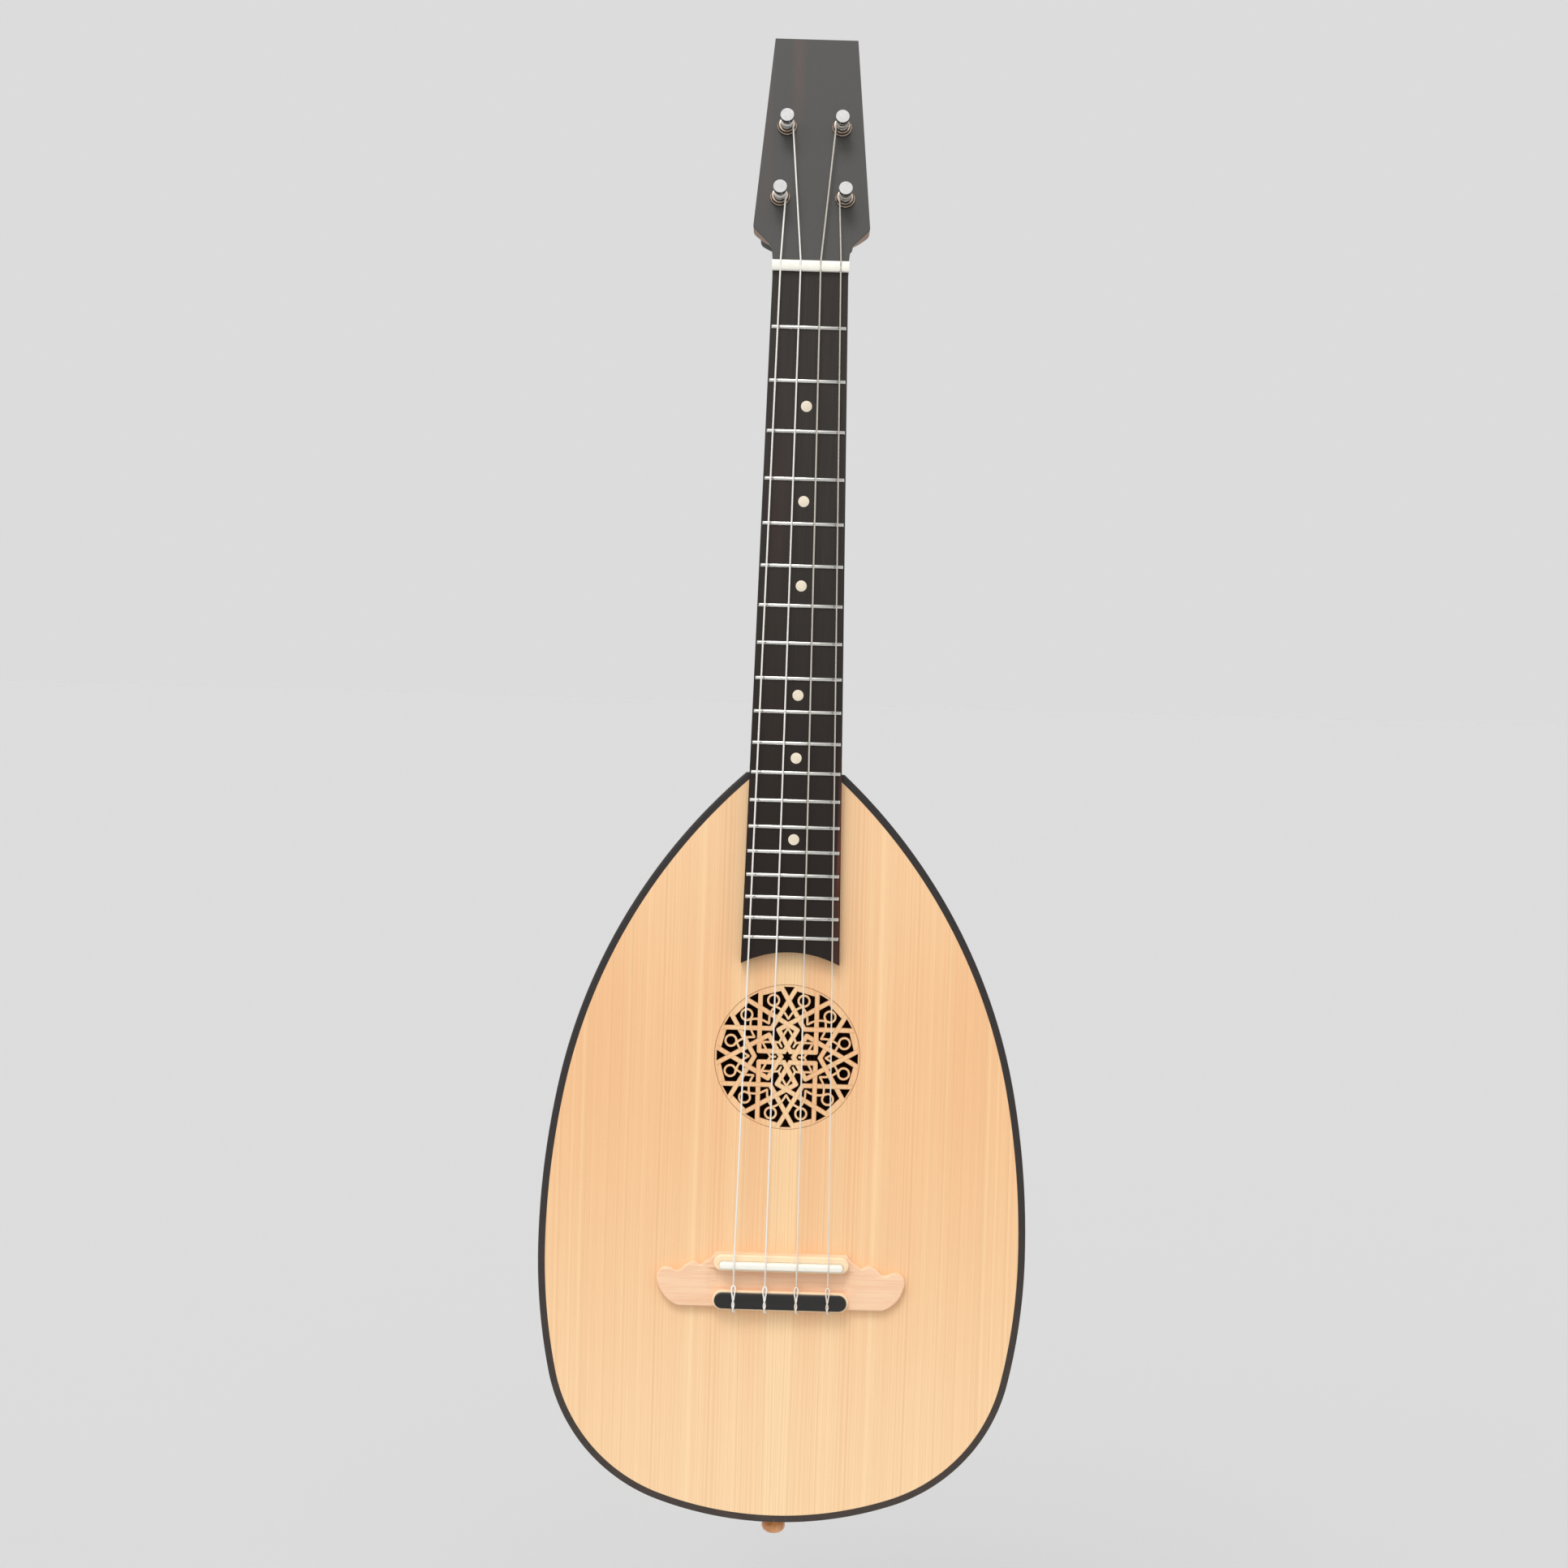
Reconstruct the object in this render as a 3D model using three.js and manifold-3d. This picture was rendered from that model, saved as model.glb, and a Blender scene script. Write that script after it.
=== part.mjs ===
// Baritone ukulele with a lute body: a bowl of bent ribs, a flat spruce top with a cut rose,
// a fretted neck with a tilted headstock, and four friction pegs that turn in it.
//
// Millimetres. +Z runs up the neck, the strings face -Y and +X is to the right seen from the
// front. The origin is where a wall hanger's yoke holds the neck, under the headstock's
// shoulders. Inside the instrument group, z = 0 is the nut's front edge and y = 0 is the plane of
// the fretboard's top.
import * as THREE from 'three';
import { mergeVertices } from 'three/addons/utils/BufferGeometryUtils.js';
import Module from 'manifold-3d';

const wasm = await Module();
wasm.setup();

// ---- driving dimensions ----
const scaleLength = 510;
const fretCount = 19;
const gap = 0.3;                       // clearance between neighbouring pieces
const sides = 12;                      // flats round a small turned piece
const hanger = { y: 10, z: 14 };       // the origin, in the instrument's own frame

const board = { bottom: 5.85, nutHalf: 19.2, endHalf: 25.35, end: -353.5, scoop: 6.2 };
const nut = { half: 19.5, front: 0.15, back: 5.1, top: -2.2, bottom: 5.85, slotFloor: -0.4 };
const neck = { top: 6, end: -255.5, nutDepth: 13.5, jointHalf: 24.2, jointDepth: 21.8 };
const head = { z: 5.8, y: 2.5, tilt: THREE.MathUtils.degToRad(13), veneer: 1.2, back: -11.5 };

const topPlane = 6;                    // outer face of the soundboard
const topThickness = 2.5;
const ribCount = 11;
const ribThickness = 2;
const bowlDepth = 0.9;                 // depth of the bowl's section over its half width
const edging = { width: 3.6, depth: 5 };
const lining = { outer: 4.3, inner: 9.3, depth: 8.5, topZ: -286, tailHalf: 46 };
const braces = { upper: -335, middle: -456, lower: -572 };
const braceSize = { width: 8, depth: 10 };
const bowlTop = topPlane + edging.depth + gap;

const rose = {
  z: -402.4, radius: 37.6, sides: 48, hole: 3.3, centre: 3.2,
  slot: { from: 7, to: 20, spread: 12 },
};
const saddle = { z: -509.3, thickness: 3.6, half: 32, top: -4.5, bottom: 3.3 };
const tie = { z: -528.7, depth: 8.2, half: 34.2, top: -1.7, bottom: -0.3, hole: 1.5 };

const stringRadius = 0.4;
const nutCrest = { y: -1.8, z: 1.6 };
const saddleCrest = { y: saddle.top - gap - stringRadius, z: saddle.z - saddle.thickness / 2 + 0.1 };
const strings = [
  { name: 'string_4', nutX: -15.3, saddleX: -24.3, peg: { x: -16.6, q: 33.4, turn: -69 } },
  { name: 'string_3', nutX: -5.15, saddleX: -8.1, peg: { x: -14.1, q: 72.1, turn: 82 } },
  { name: 'string_2', nutX: 5.15, saddleX: 8.1, peg: { x: 14.1, q: 72.1, turn: 97 } },
  { name: 'string_1', nutX: 15.3, saddleX: 24.3, peg: { x: 16.6, q: 33.4, turn: 86 } },
];
const pegHole = 4.6;
const shaft = 2.8;
const windingSide = 3.9;               // a string leaves its winding this far from the peg's axis
const windingHeight = 6;
const button = { wing: 13.8, top: -19.6, bottom: -41, thickness: 9.6, bevel: 2.4, socket: -31 };

// ---- materials ----
function finish(color, roughness, metalness = 0) {
  return new THREE.MeshStandardMaterial({ color, roughness, metalness });
}
const spruce = finish('#f2cb98', 0.5);
const walnut = finish('#7a4f33', 0.4);
const neckWood = finish('#8f6a50', 0.5);
const ebony = finish('#343230', 0.5);
const veneerWood = finish('#5f5d5a', 0.5);
const blackPlastic = finish('#1d1b1a', 0.35);
const bone = finish('#f6f1e2', 0.35);
const bridgeWood = finish('#eec6a0', 0.55);
const pinWood = finish('#b9743c', 0.45);
const chrome = finish('#c9c7c3', 0.2, 1);
const nylon = finish('#f1e9dc', 0.3);

// ---- solids ----
function solidOf(geometry) {
  const bare = geometry.index ? geometry.clone() : geometry;
  bare.deleteAttribute('normal');
  bare.deleteAttribute('uv');
  const welded = mergeVertices(bare, 1e-4);
  return new wasm.Manifold(new wasm.Mesh({
    numProp: 3,
    vertProperties: new Float32Array(welded.attributes.position.array),
    triVerts: new Uint32Array(welded.index.array),
  }));
}

function geometryOf(solid) {
  const mesh = solid.getMesh();
  const geometry = new THREE.BufferGeometry();
  geometry.setAttribute('position', new THREE.BufferAttribute(mesh.vertProperties, 3));
  geometry.setIndex(new THREE.BufferAttribute(mesh.triVerts, 1));
  geometry.computeVertexNormals();
  return geometry;
}

function join(...geometries) {
  return geometryOf(geometries.map(solidOf).reduce((sum, next) => sum.add(next)));
}

function cut(geometry, ...tools) {
  return geometryOf(tools.map(solidOf).reduce((rest, tool) => rest.subtract(tool), solidOf(geometry)));
}

function common(a, b) {
  return geometryOf(solidOf(a).intersect(solidOf(b)));
}

// A box from its lowest to its highest corner.
function block([x0, y0, z0], [x1, y1, z1]) {
  return new THREE.BoxGeometry(x1 - x0, y1 - y0, z1 - z0)
    .translate((x0 + x1) / 2, (y0 + y1) / 2, (z0 + z1) / 2);
}

// A shape drawn in x and z, thickened along y from its front to its rear plane.
function panel(shape, front, rear, curveSegments = 12) {
  return new THREE.ExtrudeGeometry(shape, { depth: rear - front, bevelEnabled: false, curveSegments })
    .rotateX(Math.PI / 2).translate(0, rear, 0);
}

// Points round a circle drawn in x and z.
function circle(x, z, radius, sides) {
  return Array.from({ length: sides }, (_, i) => {
    const angle = 2 * Math.PI * i / sides;
    return new THREE.Vector2(x + radius * Math.cos(angle), z + radius * Math.sin(angle));
  });
}

// A round piece about its peg's axis. The profile is [radius, height above the headstock's face].
function turned(profile, segments = sides) {
  const points = profile.map(([radius, height]) => new THREE.Vector2(radius, -height));
  return new THREE.LatheGeometry(points.reverse(), segments);
}

// A ring about the same axis, whose profile closes on itself.
function ring(profile) {
  return turned([...profile, profile[0]]);
}

function pegDrill(radius, low, high) {
  return turned([[0, low], [radius, low], [radius, high], [0, high]]);
}

// A six-sided strand through the points, mitred at each bend: every section slides along its
// segment until it meets the plane that halves the bend.
function strand(points, radius) {
  const directions = points.slice(1).map((point, i) =>
    new THREE.Vector3().subVectors(point, points[i]).normalize());
  const across = new THREE.Vector3(1, 0, 0);
  const up = new THREE.Vector3().crossVectors(directions[0], across).normalize();
  const level = new THREE.Vector3().crossVectors(up, directions[0]);
  let section = Array.from({ length: 6 }, (_, j) => points[0].clone()
    .addScaledVector(level, radius * Math.cos(Math.PI * j / 3))
    .addScaledVector(up, radius * Math.sin(Math.PI * j / 3)));
  const sections = [section];
  directions.forEach((along, i) => {
    const next = directions[i + 1] ?? along;
    const mitre = new THREE.Vector3().addVectors(along, next).normalize();
    section = section.map((corner) => {
      const toPlane = new THREE.Vector3().subVectors(points[i + 1], corner).dot(mitre);
      return corner.clone().addScaledVector(along, toPlane / along.dot(mitre));
    });
    sections.push(section);
  });
  return loft(sections);
}

// Skins a row of matching sections. Each section is one side's points and then the other side's
// points back again, so the end caps are ladders between the two sides.
function loft(sections) {
  const size = sections[0].length;
  const position = sections.flat().flatMap((point) => point.toArray());
  const index = [];
  const quad = (a, b, c, d) => index.push(a, b, c, a, c, d);
  for (let i = 0; i + 1 < sections.length; i += 1) {
    for (let j = 0; j < size; j += 1) {
      const next = (j + 1) % size;
      quad(i * size + j, i * size + next, (i + 1) * size + next, (i + 1) * size + j);
    }
  }
  const last = (sections.length - 1) * size;
  for (let j = 0; j < size / 2 - 1; j += 1) {
    const back = size - 1 - j;
    quad(j, back, back - 1, j + 1);
    quad(last + j, last + j + 1, last + back - 1, last + back);
  }
  const geometry = new THREE.BufferGeometry();
  geometry.setAttribute('position', new THREE.Float32BufferAttribute(position, 3));
  geometry.setIndex(signedVolume(position, index) < 0 ? index.reverse() : index);
  geometry.computeVertexNormals();
  return geometry;
}

function signedVolume(position, index) {
  const corner = (i) => new THREE.Vector3().fromArray(position, 3 * index[i]);
  let volume = 0;
  for (let i = 0; i < index.length; i += 3) {
    volume += corner(i).dot(corner(i + 1).cross(corner(i + 2))) / 6;
  }
  return volume;
}

// ---- body outline ----
// Half the outline is a chain of arcs that meet at common normals, so one angle, the direction of
// the outward normal, walks the whole of it: positive above the widest place, negative below it.
const waist = { half: 126.5, z: -505 };
const flank = { radius: 441, end: 0.198 };
const shoulder = { radius: 298 };
const hip = { radius: 309, end: -0.214 };
const corner = { radius: 90, end: -1.235 };
const outlineArcs = bodyArcs();

function bodyArcs() {
  const at = (arc, angle) => new THREE.Vector2(
    arc.x + arc.radius * Math.cos(angle), arc.z + arc.radius * Math.sin(angle));
  const arcFrom = (point, radius, angle) => ({
    radius, x: point.x - radius * Math.cos(angle), z: point.y - radius * Math.sin(angle),
  });
  const widest = new THREE.Vector2(waist.half, waist.z);
  const flankArc = arcFrom(widest, flank.radius, 0);
  const shoulderArc = arcFrom(at(flankArc, flank.end), shoulder.radius, flank.end);
  const hipArc = arcFrom(widest, hip.radius, 0);
  const cornerArc = arcFrom(at(hipArc, hip.end), corner.radius, hip.end);
  const cornerEnd = at(cornerArc, corner.end);
  const tailArc = arcFrom(cornerEnd, cornerEnd.x / Math.cos(corner.end), corner.end);
  return [
    { ...shoulderArc, low: flank.end, steps: 7 },
    { ...flankArc, low: 0, steps: 3 },
    { ...hipArc, low: hip.end, steps: 2 },
    { ...cornerArc, low: corner.end, steps: 7 },
    { ...tailArc, low: -Math.PI / 2, steps: 3 },
  ];
}

// Half width x and place z of the outline at a normal's angle, moved inwards by the inset.
function outlineAt(angle, inset = 0) {
  const arc = outlineArcs.find((each) => angle >= each.low - 1e-9);
  const radius = arc.radius - inset;
  return { x: arc.x + radius * Math.cos(angle), z: arc.z + radius * Math.sin(angle) };
}

// The angle at which the outline's upper part crosses a level z.
function angleAtLevel(z, inset = 0) {
  const arc = outlineArcs[0];
  return Math.asin((z - arc.z) / (arc.radius - inset));
}

// The angle at which the tail's arc has a half width x.
function angleAtTail(x, inset = 0) {
  return -Math.acos(x / (outlineArcs[outlineArcs.length - 1].radius - inset));
}

// Angles along the outline from one to another, with every joint between arcs.
function anglesBetween(high, low) {
  const angles = [high];
  let top = high;
  for (const arc of outlineArcs) {
    const bottom = Math.max(arc.low, low);
    if (bottom >= top) continue;
    for (let i = 1; i <= arc.steps; i += 1) angles.push(top + (bottom - top) * i / arc.steps);
    top = bottom;
  }
  return angles;
}

// The outline as a closed shape from the neck joint to the tail.
function outlineShape(inset, topZ) {
  const right = anglesBetween(angleAtLevel(topZ, inset), -Math.PI / 2)
    .map((angle) => outlineAt(angle, inset));
  const left = right.slice(0, -1).reverse();
  return new THREE.Shape([
    ...right.map(({ x, z }) => new THREE.Vector2(x, z)),
    ...left.map(({ x, z }) => new THREE.Vector2(-x, z)),
  ]);
}

// ---- bowl ----
// A point of the bowl: the share runs from 0 at the left rim to 1 at the right rim.
function bowlPoint({ x, z }, share) {
  const rim = Math.asin(Math.min(1, (bowlTop - topPlane) / (bowlDepth * x)));
  const angle = rim + (Math.PI - 2 * rim) * share;
  return new THREE.Vector3(-x * Math.cos(angle), topPlane + bowlDepth * x * Math.sin(angle), z);
}

// One stave of the bowl between two shares, with half the joint's gap off each side.
function stave(fromShare, toShare, high, low, segments) {
  const sections = anglesBetween(high, low).map((angle, i) => {
    const side = (inset) => {
      const place = i === 0 ? startAt(high, inset) : outlineAt(angle, inset);
      const trim = gap / 2 / (Math.PI * place.x);
      const from = fromShare === 0 ? 0 : fromShare + trim;
      const to = toShare === 1 ? 1 : toShare - trim;
      return Array.from({ length: segments + 1 }, (_, j) =>
        bowlPoint(place, from + (to - from) * j / segments));
    };
    return [...side(0), ...side(ribThickness).reverse()];
  });
  return loft(sections);
}

// A stave's first section is square to the neck's joint when it starts there.
function startAt(high, inset) {
  const outer = outlineAt(high);
  return high > 0 ? outlineAt(angleAtLevel(outer.z, inset), inset) : outlineAt(high, inset);
}

const neckJoint = neck.end - gap;
const capHalf = 42;
const capTip = 6.8;

function rib(i) {
  return stave(i / ribCount, (i + 1) / ribCount,
    angleAtLevel(neckJoint), angleAtTail(capHalf + gap), 2);
}

const pin = { y: topPlane + 22, hole: 3.8, shank: 3.5 };

// A cylinder along the body's length, for the end pin's hole.
function pinDrill(radius, low, high) {
  return new THREE.CylinderGeometry(radius, radius, high - low, 20)
    .rotateX(Math.PI / 2).translate(0, pin.y, (low + high) / 2);
}

function tailCap() {
  const shell = stave(0, 1, angleAtTail(capHalf), angleAtTail(capTip), 14);
  return cut(shell, pinDrill(pin.hole, -660, -620));
}

// The room inside the ribs, from the underside of the soundboard down.
function bowlRoom(highZ) {
  const inset = ribThickness + gap;
  const segments = 12;
  const angles = anglesBetween(angleAtLevel(highZ, inset), angleAtTail(capTip, inset));
  const room = loft(angles.map((angle) => {
    const place = outlineAt(angle, inset);
    const arc = Array.from({ length: segments + 1 }, (_, j) => bowlPoint(place, j / segments));
    const ends = [arc[0], arc[segments]].map((point) => point.x);
    const lid = arc.map((_, j) => new THREE.Vector3(
      THREE.MathUtils.lerp(ends[0], ends[1], j / segments), bowlTop, place.z));
    return [...arc.slice(1, -1), ...lid.slice(1, -1).reverse()];
  }));
  const underTop = topPlane + topThickness + gap;
  const upper = panel(outlineShape(edging.width + 2 * gap, highZ), underTop, bowlTop + 0.6, 1);
  return join(room, upper);
}

function neckBlock() {
  const room = bowlRoom(neckJoint - gap);
  return common(room, block([-80, 0, -284], [80, 60, neckJoint - gap]));
}

function tailBlock() {
  const end = common(bowlRoom(neckJoint - gap), block([-38, 0, -660], [38, 44, -624]));
  return cut(end, pinDrill(pin.hole, -660, -610));
}

function brace(z) {
  const { width, depth } = braceSize;
  const top = topPlane + topThickness + gap;
  const inside = panel(outlineShape(lining.inner + gap, neckJoint), top, top + depth, 1);
  return common(inside, block([-130, 0, z - width / 2], [130, 40, z + width / 2]));
}

// A strip that follows the outline between two insets and two depths.
function strip(side, high, low, outer, inner, front, rear) {
  const sections = anglesBetween(high, low).map((angle, i, all) => {
    const corners = [outer, inner].map((inset) => {
      let place = outlineAt(angle, inset);
      if (i === 0) place = outlineAt(angleAtLevel(outlineAt(high).z, inset), inset);
      if (i === all.length - 1) place = outlineAt(angleAtTail(outlineAt(low).x, inset), inset);
      return place;
    });
    const [out, into] = corners.map(({ x, z }) => [side * x, z]);
    return [
      new THREE.Vector3(out[0], front, out[1]), new THREE.Vector3(into[0], front, into[1]),
      new THREE.Vector3(into[0], rear, into[1]), new THREE.Vector3(out[0], rear, out[1]),
    ];
  });
  return loft(sections);
}

function edgingHalf(side) {
  return strip(side, angleAtLevel(neckJoint), angleAtTail(gap / 2),
    0, edging.width, topPlane, topPlane + edging.depth);
}

function liningHalf(side) {
  const front = topPlane + topThickness + gap;
  return strip(side, angleAtLevel(lining.topZ), angleAtTail(lining.tailHalf),
    lining.outer, lining.inner, front, front + lining.depth);
}

// ---- soundboard and rose ----
function soundboard() {
  const shape = outlineShape(edging.width + gap, neckJoint - gap);
  shape.holes.push(new THREE.Path(circle(0, rose.z, rose.radius + gap, rose.sides)));
  return panel(shape, topPlane, topPlane + topThickness);
}

function polar(radius, degrees) {
  const angle = THREE.MathUtils.degToRad(degrees);
  return new THREE.Vector2(radius * Math.sin(angle), rose.z + radius * Math.cos(angle));
}

// The rose: twelve round openings near the rim, six pointed slots and a six-sided centre.
function roseDisc() {
  const shape = new THREE.Shape(circle(0, rose.z, rose.radius, rose.sides));
  for (let i = 0; i < 12; i += 1) {
    const centre = polar(rose.radius * 0.8, 15 + 30 * i);
    shape.holes.push(new THREE.Path(circle(centre.x, centre.y, rose.hole, 6)));
  }
  const { from, to, spread } = rose.slot;
  for (let i = 0; i < 6; i += 1) {
    const angle = 60 * i;
    const middle = (from + to) / 2;
    shape.holes.push(new THREE.Path([
      polar(from, angle), polar(middle, angle - spread), polar(to, angle),
      polar(middle, angle + spread)]));
  }
  shape.holes.push(new THREE.Path(Array.from({ length: 6 }, (_, i) => polar(rose.centre, 60 * i))));
  return panel(shape, topPlane, topPlane + topThickness);
}

// ---- bridge ----
// The bridge's outline to the right of its centre: a scalloped upper edge, a rounded end and a
// straight lower edge.
function bridgeShape() {
  const shape = new THREE.Shape();
  const wing = [
    [36.5, -507.6], [40.4, -510.2], [41.6, -511.2], [43.4, -510.2], [46.2, -509.6], [49.6, -511.5],
    [52.2, -514], [54.4, -514.5], [57.6, -513.1], [61, -513.1], [63.4, -515], [64.4, -518.4],
    [63.2, -523], [60.6, -527.6], [57, -531], [53, -533],
  ];
  const right = wing.map(([x, z]) => new THREE.Vector2(x, z));
  const left = wing.map(([x, z]) => new THREE.Vector2(-x, z)).reverse();
  shape.moveTo(-34, -504.4);
  shape.lineTo(34, -504.4);
  shape.splineThru(right);
  shape.lineTo(left[0].x, left[0].y);
  shape.splineThru(left.slice(1));
  shape.lineTo(-34, -504.4);
  return shape;
}

// A bar with half-round ends, centred on z.
function barShape(half, depth, z) {
  const radius = depth / 2;
  return new THREE.Shape()
    .absarc(half - radius, z, radius, -Math.PI / 2, Math.PI / 2, false)
    .absarc(radius - half, z, radius, Math.PI / 2, 1.5 * Math.PI, false);
}

function bridge() {
  const foot = topPlane - 0.1;
  const wings = panel(bridgeShape(), 2.2, foot, 2);
  const well = panel(barShape(34.4, 12, -518), 0, 3.4, 5);
  const saddleBlock = panel(barShape(35, 9.4, -508.9), -0.8, foot, 5);
  const tieBlock = panel(barShape(35.2, 10, tie.z), 0, foot, 5);
  const slot = panel(barShape(saddle.half + gap, saddle.thickness + 2 * gap, saddle.z),
    -3, saddle.bottom + gap, 5);
  const holes = strings.map(({ saddleX }) => new THREE.CylinderGeometry(0.9, 0.9, 14, 8)
    .rotateX(Math.PI / 2).translate(saddleX, tie.hole, tie.z));
  return cut(join(cut(wings, well), saddleBlock, tieBlock), slot, ...holes);
}

function saddlePiece() {
  return panel(barShape(saddle.half, saddle.thickness, saddle.z), saddle.top, saddle.bottom, 5);
}

function tieBar() {
  return panel(barShape(tie.half, tie.depth, tie.z), tie.top, tie.bottom, 5);
}

// ---- neck, fretboard and headstock ----
function fretZ(i) {
  return -scaleLength * (1 - 2 ** (-i / 12));
}

function boardHalf(z) {
  return THREE.MathUtils.lerp(board.nutHalf, board.endHalf, z / board.end);
}

function fret(i) {
  const half = boardHalf(fretZ(i)) - 0.2;
  const crown = new THREE.Shape().absarc(0, 0, 1, 0, Math.PI, false);
  return new THREE.ExtrudeGeometry(crown, { depth: 2 * half, bevelEnabled: false, curveSegments: 3 })
    .rotateX(Math.PI).rotateY(Math.PI / 2).translate(half, 0.2, fretZ(i));
}

// The fretboard's lower end is scooped to a hollow curve.
function fretboard() {
  const half = board.endHalf;
  const radius = (half ** 2 + board.scoop ** 2) / (2 * board.scoop);
  const spread = Math.asin(half / radius);
  const shape = new THREE.Shape()
    .moveTo(board.nutHalf, -gap)
    .lineTo(-board.nutHalf, -gap)
    .lineTo(-half, board.end)
    .absarc(0, board.end + board.scoop - radius, radius, Math.PI / 2 + spread,
      Math.PI / 2 - spread, true);
  const frets = Array.from({ length: fretCount }, (_, i) => fret(i + 1));
  return join(panel(shape, 0, board.bottom, 10), ...frets);
}

function nutPiece() {
  const body = block([-nut.half, nut.top, nut.front], [nut.half, nut.bottom, nut.back]);
  const slots = strings.map(({ nutX }) =>
    block([nutX - 0.75, nut.top - 1, nut.front - 1], [nutX + 0.75, nut.slotFloor, nut.back + 1]));
  return cut(body, ...slots);
}

// A point above (height > 0) or inside the tilted headstock, q up its face from the nut.
function onHead(x, q, height) {
  const { tilt } = head;
  return new THREE.Vector3(x, head.y + q * Math.sin(tilt) - height * Math.cos(tilt),
    head.z + q * Math.cos(tilt) + height * Math.sin(tilt));
}

function headShape(startQ) {
  return new THREE.Shape()
    .moveTo(-19.4, startQ)
    .lineTo(19.4, startQ)
    .quadraticCurveTo(19.5, 6.6, 22, 9)
    .lineTo(29.2, 16.6)
    .quadraticCurveTo(29.8, 17.4, 29.7, 18.6)
    .lineTo(21.4, 120.6)
    .lineTo(-21.4, 120.6)
    .lineTo(-29.7, 18.6)
    .quadraticCurveTo(-29.8, 17.4, -29.2, 16.6)
    .lineTo(-22, 9)
    .quadraticCurveTo(-19.5, 6.6, -19.4, startQ);
}

function toInstrument(geometry) {
  return geometry.rotateX(-head.tilt).translate(0, head.y, head.z);
}

function pegHoles() {
  return strings.map(({ peg }) => pegDrill(pegHole, -20, 10).translate(peg.x, 0, peg.q));
}

function headVeneer() {
  return cut(panel(headShape(0), 0, head.veneer, 5), ...pegHoles());
}

// The neck's section: flat on top, half an ellipse below.
function neckSection(z, half, depth, top) {
  const segments = 12;
  const round = Array.from({ length: segments - 1 }, (_, j) => {
    const angle = Math.PI * (j + 1) / segments;
    return new THREE.Vector3(-half * Math.cos(angle), top + depth * Math.sin(angle), z);
  });
  round[0].x = -half;
  round[segments - 2].x = half;
  const flat = round.map((_, j) =>
    new THREE.Vector3(THREE.MathUtils.lerp(half, -half, j / (segments - 2)), top, z));
  return [...round, ...flat];
}

function neckShaft() {
  const straight = Array.from({ length: 9 }, (_, i) => {
    const share = i / 8;
    const half = THREE.MathUtils.lerp(neck.jointHalf, nut.half, share);
    const depth = THREE.MathUtils.lerp(neck.jointDepth, neck.nutDepth, share);
    return neckSection(neck.end * (1 - share), half, depth, neck.top);
  });
  const volute = [[6, 19.2, 13], [13, 17, 10.6], [19, 12, 6.4]].map(([z, half, depth]) =>
    neckSection(z, half, depth, Math.max(neck.top, onHead(0, (z - head.z), -head.veneer).y + 2)));
  return loft([...straight, ...volute]);
}

function neckAndHead() {
  const slab = cut(panel(headShape(1), head.veneer + gap, -head.back, 5), ...pegHoles());
  return join(neckShaft(), toInstrument(slab));
}

// ---- friction pegs ----
function pegPost() {
  return turned([
    [0, -30], [shaft, -30], [shaft, 3.5], [3.2, 3.9], [2.5, 4.5], [2.5, 8.4], [3.4, 10],
    [3.2, 10.6], [3.7, 11], [3.7, 13.8], [0, 13.8],
  ]);
}

function pegFerrule() {
  const bore = shaft + gap;
  return ring([
    [bore, -5.4], [4.3, -5.4], [4.3, 0.3], [5.1, 0.3], [5.1, 1.3], [4.4, 2], [4.1, 3.1], [bore, 3.1],
  ]);
}

function pegCup() {
  const bore = shaft + gap;
  return ring([
    [bore, -17.6], [5.6, -17.6], [6.6, -16.6], [6.6, -12.6], [6, -11.8], [4.3, -11.8],
    [4.3, -6.6], [bore, -6.6],
  ]);
}

function stringWinding() {
  return ring([
    [2.8, 4.8], [3.2, 4.8], [3.2, 8], [2.8, 8],
  ]);
}

// A butterfly button: two rounded wings either side of a collar, hollow for the post.
function pegButton() {
  const { top, bottom, thickness, bevel } = button;
  const reach = button.wing - bevel;
  const high = top - 2;
  const low = bottom + bevel;
  const half = [
    [0, low + 1], [3, low + 0.7], [7, low], [reach - 1.6, low + 1.4], [reach, low + 5],
    [reach - 1, low + 10], [8, high - 0.8], [4.4, high],
  ];
  const wing = new THREE.Shape([
    ...half.map(([x, height]) => new THREE.Vector2(x, height)),
    ...half.slice(1).reverse().map(([x, height]) => new THREE.Vector2(-x, height)),
  ]);
  const blade = new THREE.ExtrudeGeometry(wing, {
    depth: thickness - 2 * bevel, bevelThickness: bevel, bevelSize: bevel, bevelSegments: 1,
  }).translate(0, 0, bevel - thickness / 2).rotateX(Math.PI);
  const collar = turned([[0, -24], [4, -24], [4, -18.6], [3.6, -18], [0, -18]]);
  const socket = pegDrill(shaft + gap, button.socket, -10);
  const screwHole = pegDrill(1.9, -50, button.socket + 1);
  return cut(join(blade, collar), socket, screwHole);
}

function pegScrew() {
  const headTop = button.bottom - gap;
  const body = turned([
    [0, headTop - 1.9], [1.8, headTop - 1.9], [2.9, headTop - 1.2], [2.9, headTop],
    [1.5, headTop], [1.5, -31], [0, -31],
  ]);
  const slot = block([-0.4, -headTop + 1.2, -2], [0.4, -headTop + 3, 2]);
  return cut(body, slot, slot.clone().rotateY(Math.PI / 2));
}

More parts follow.
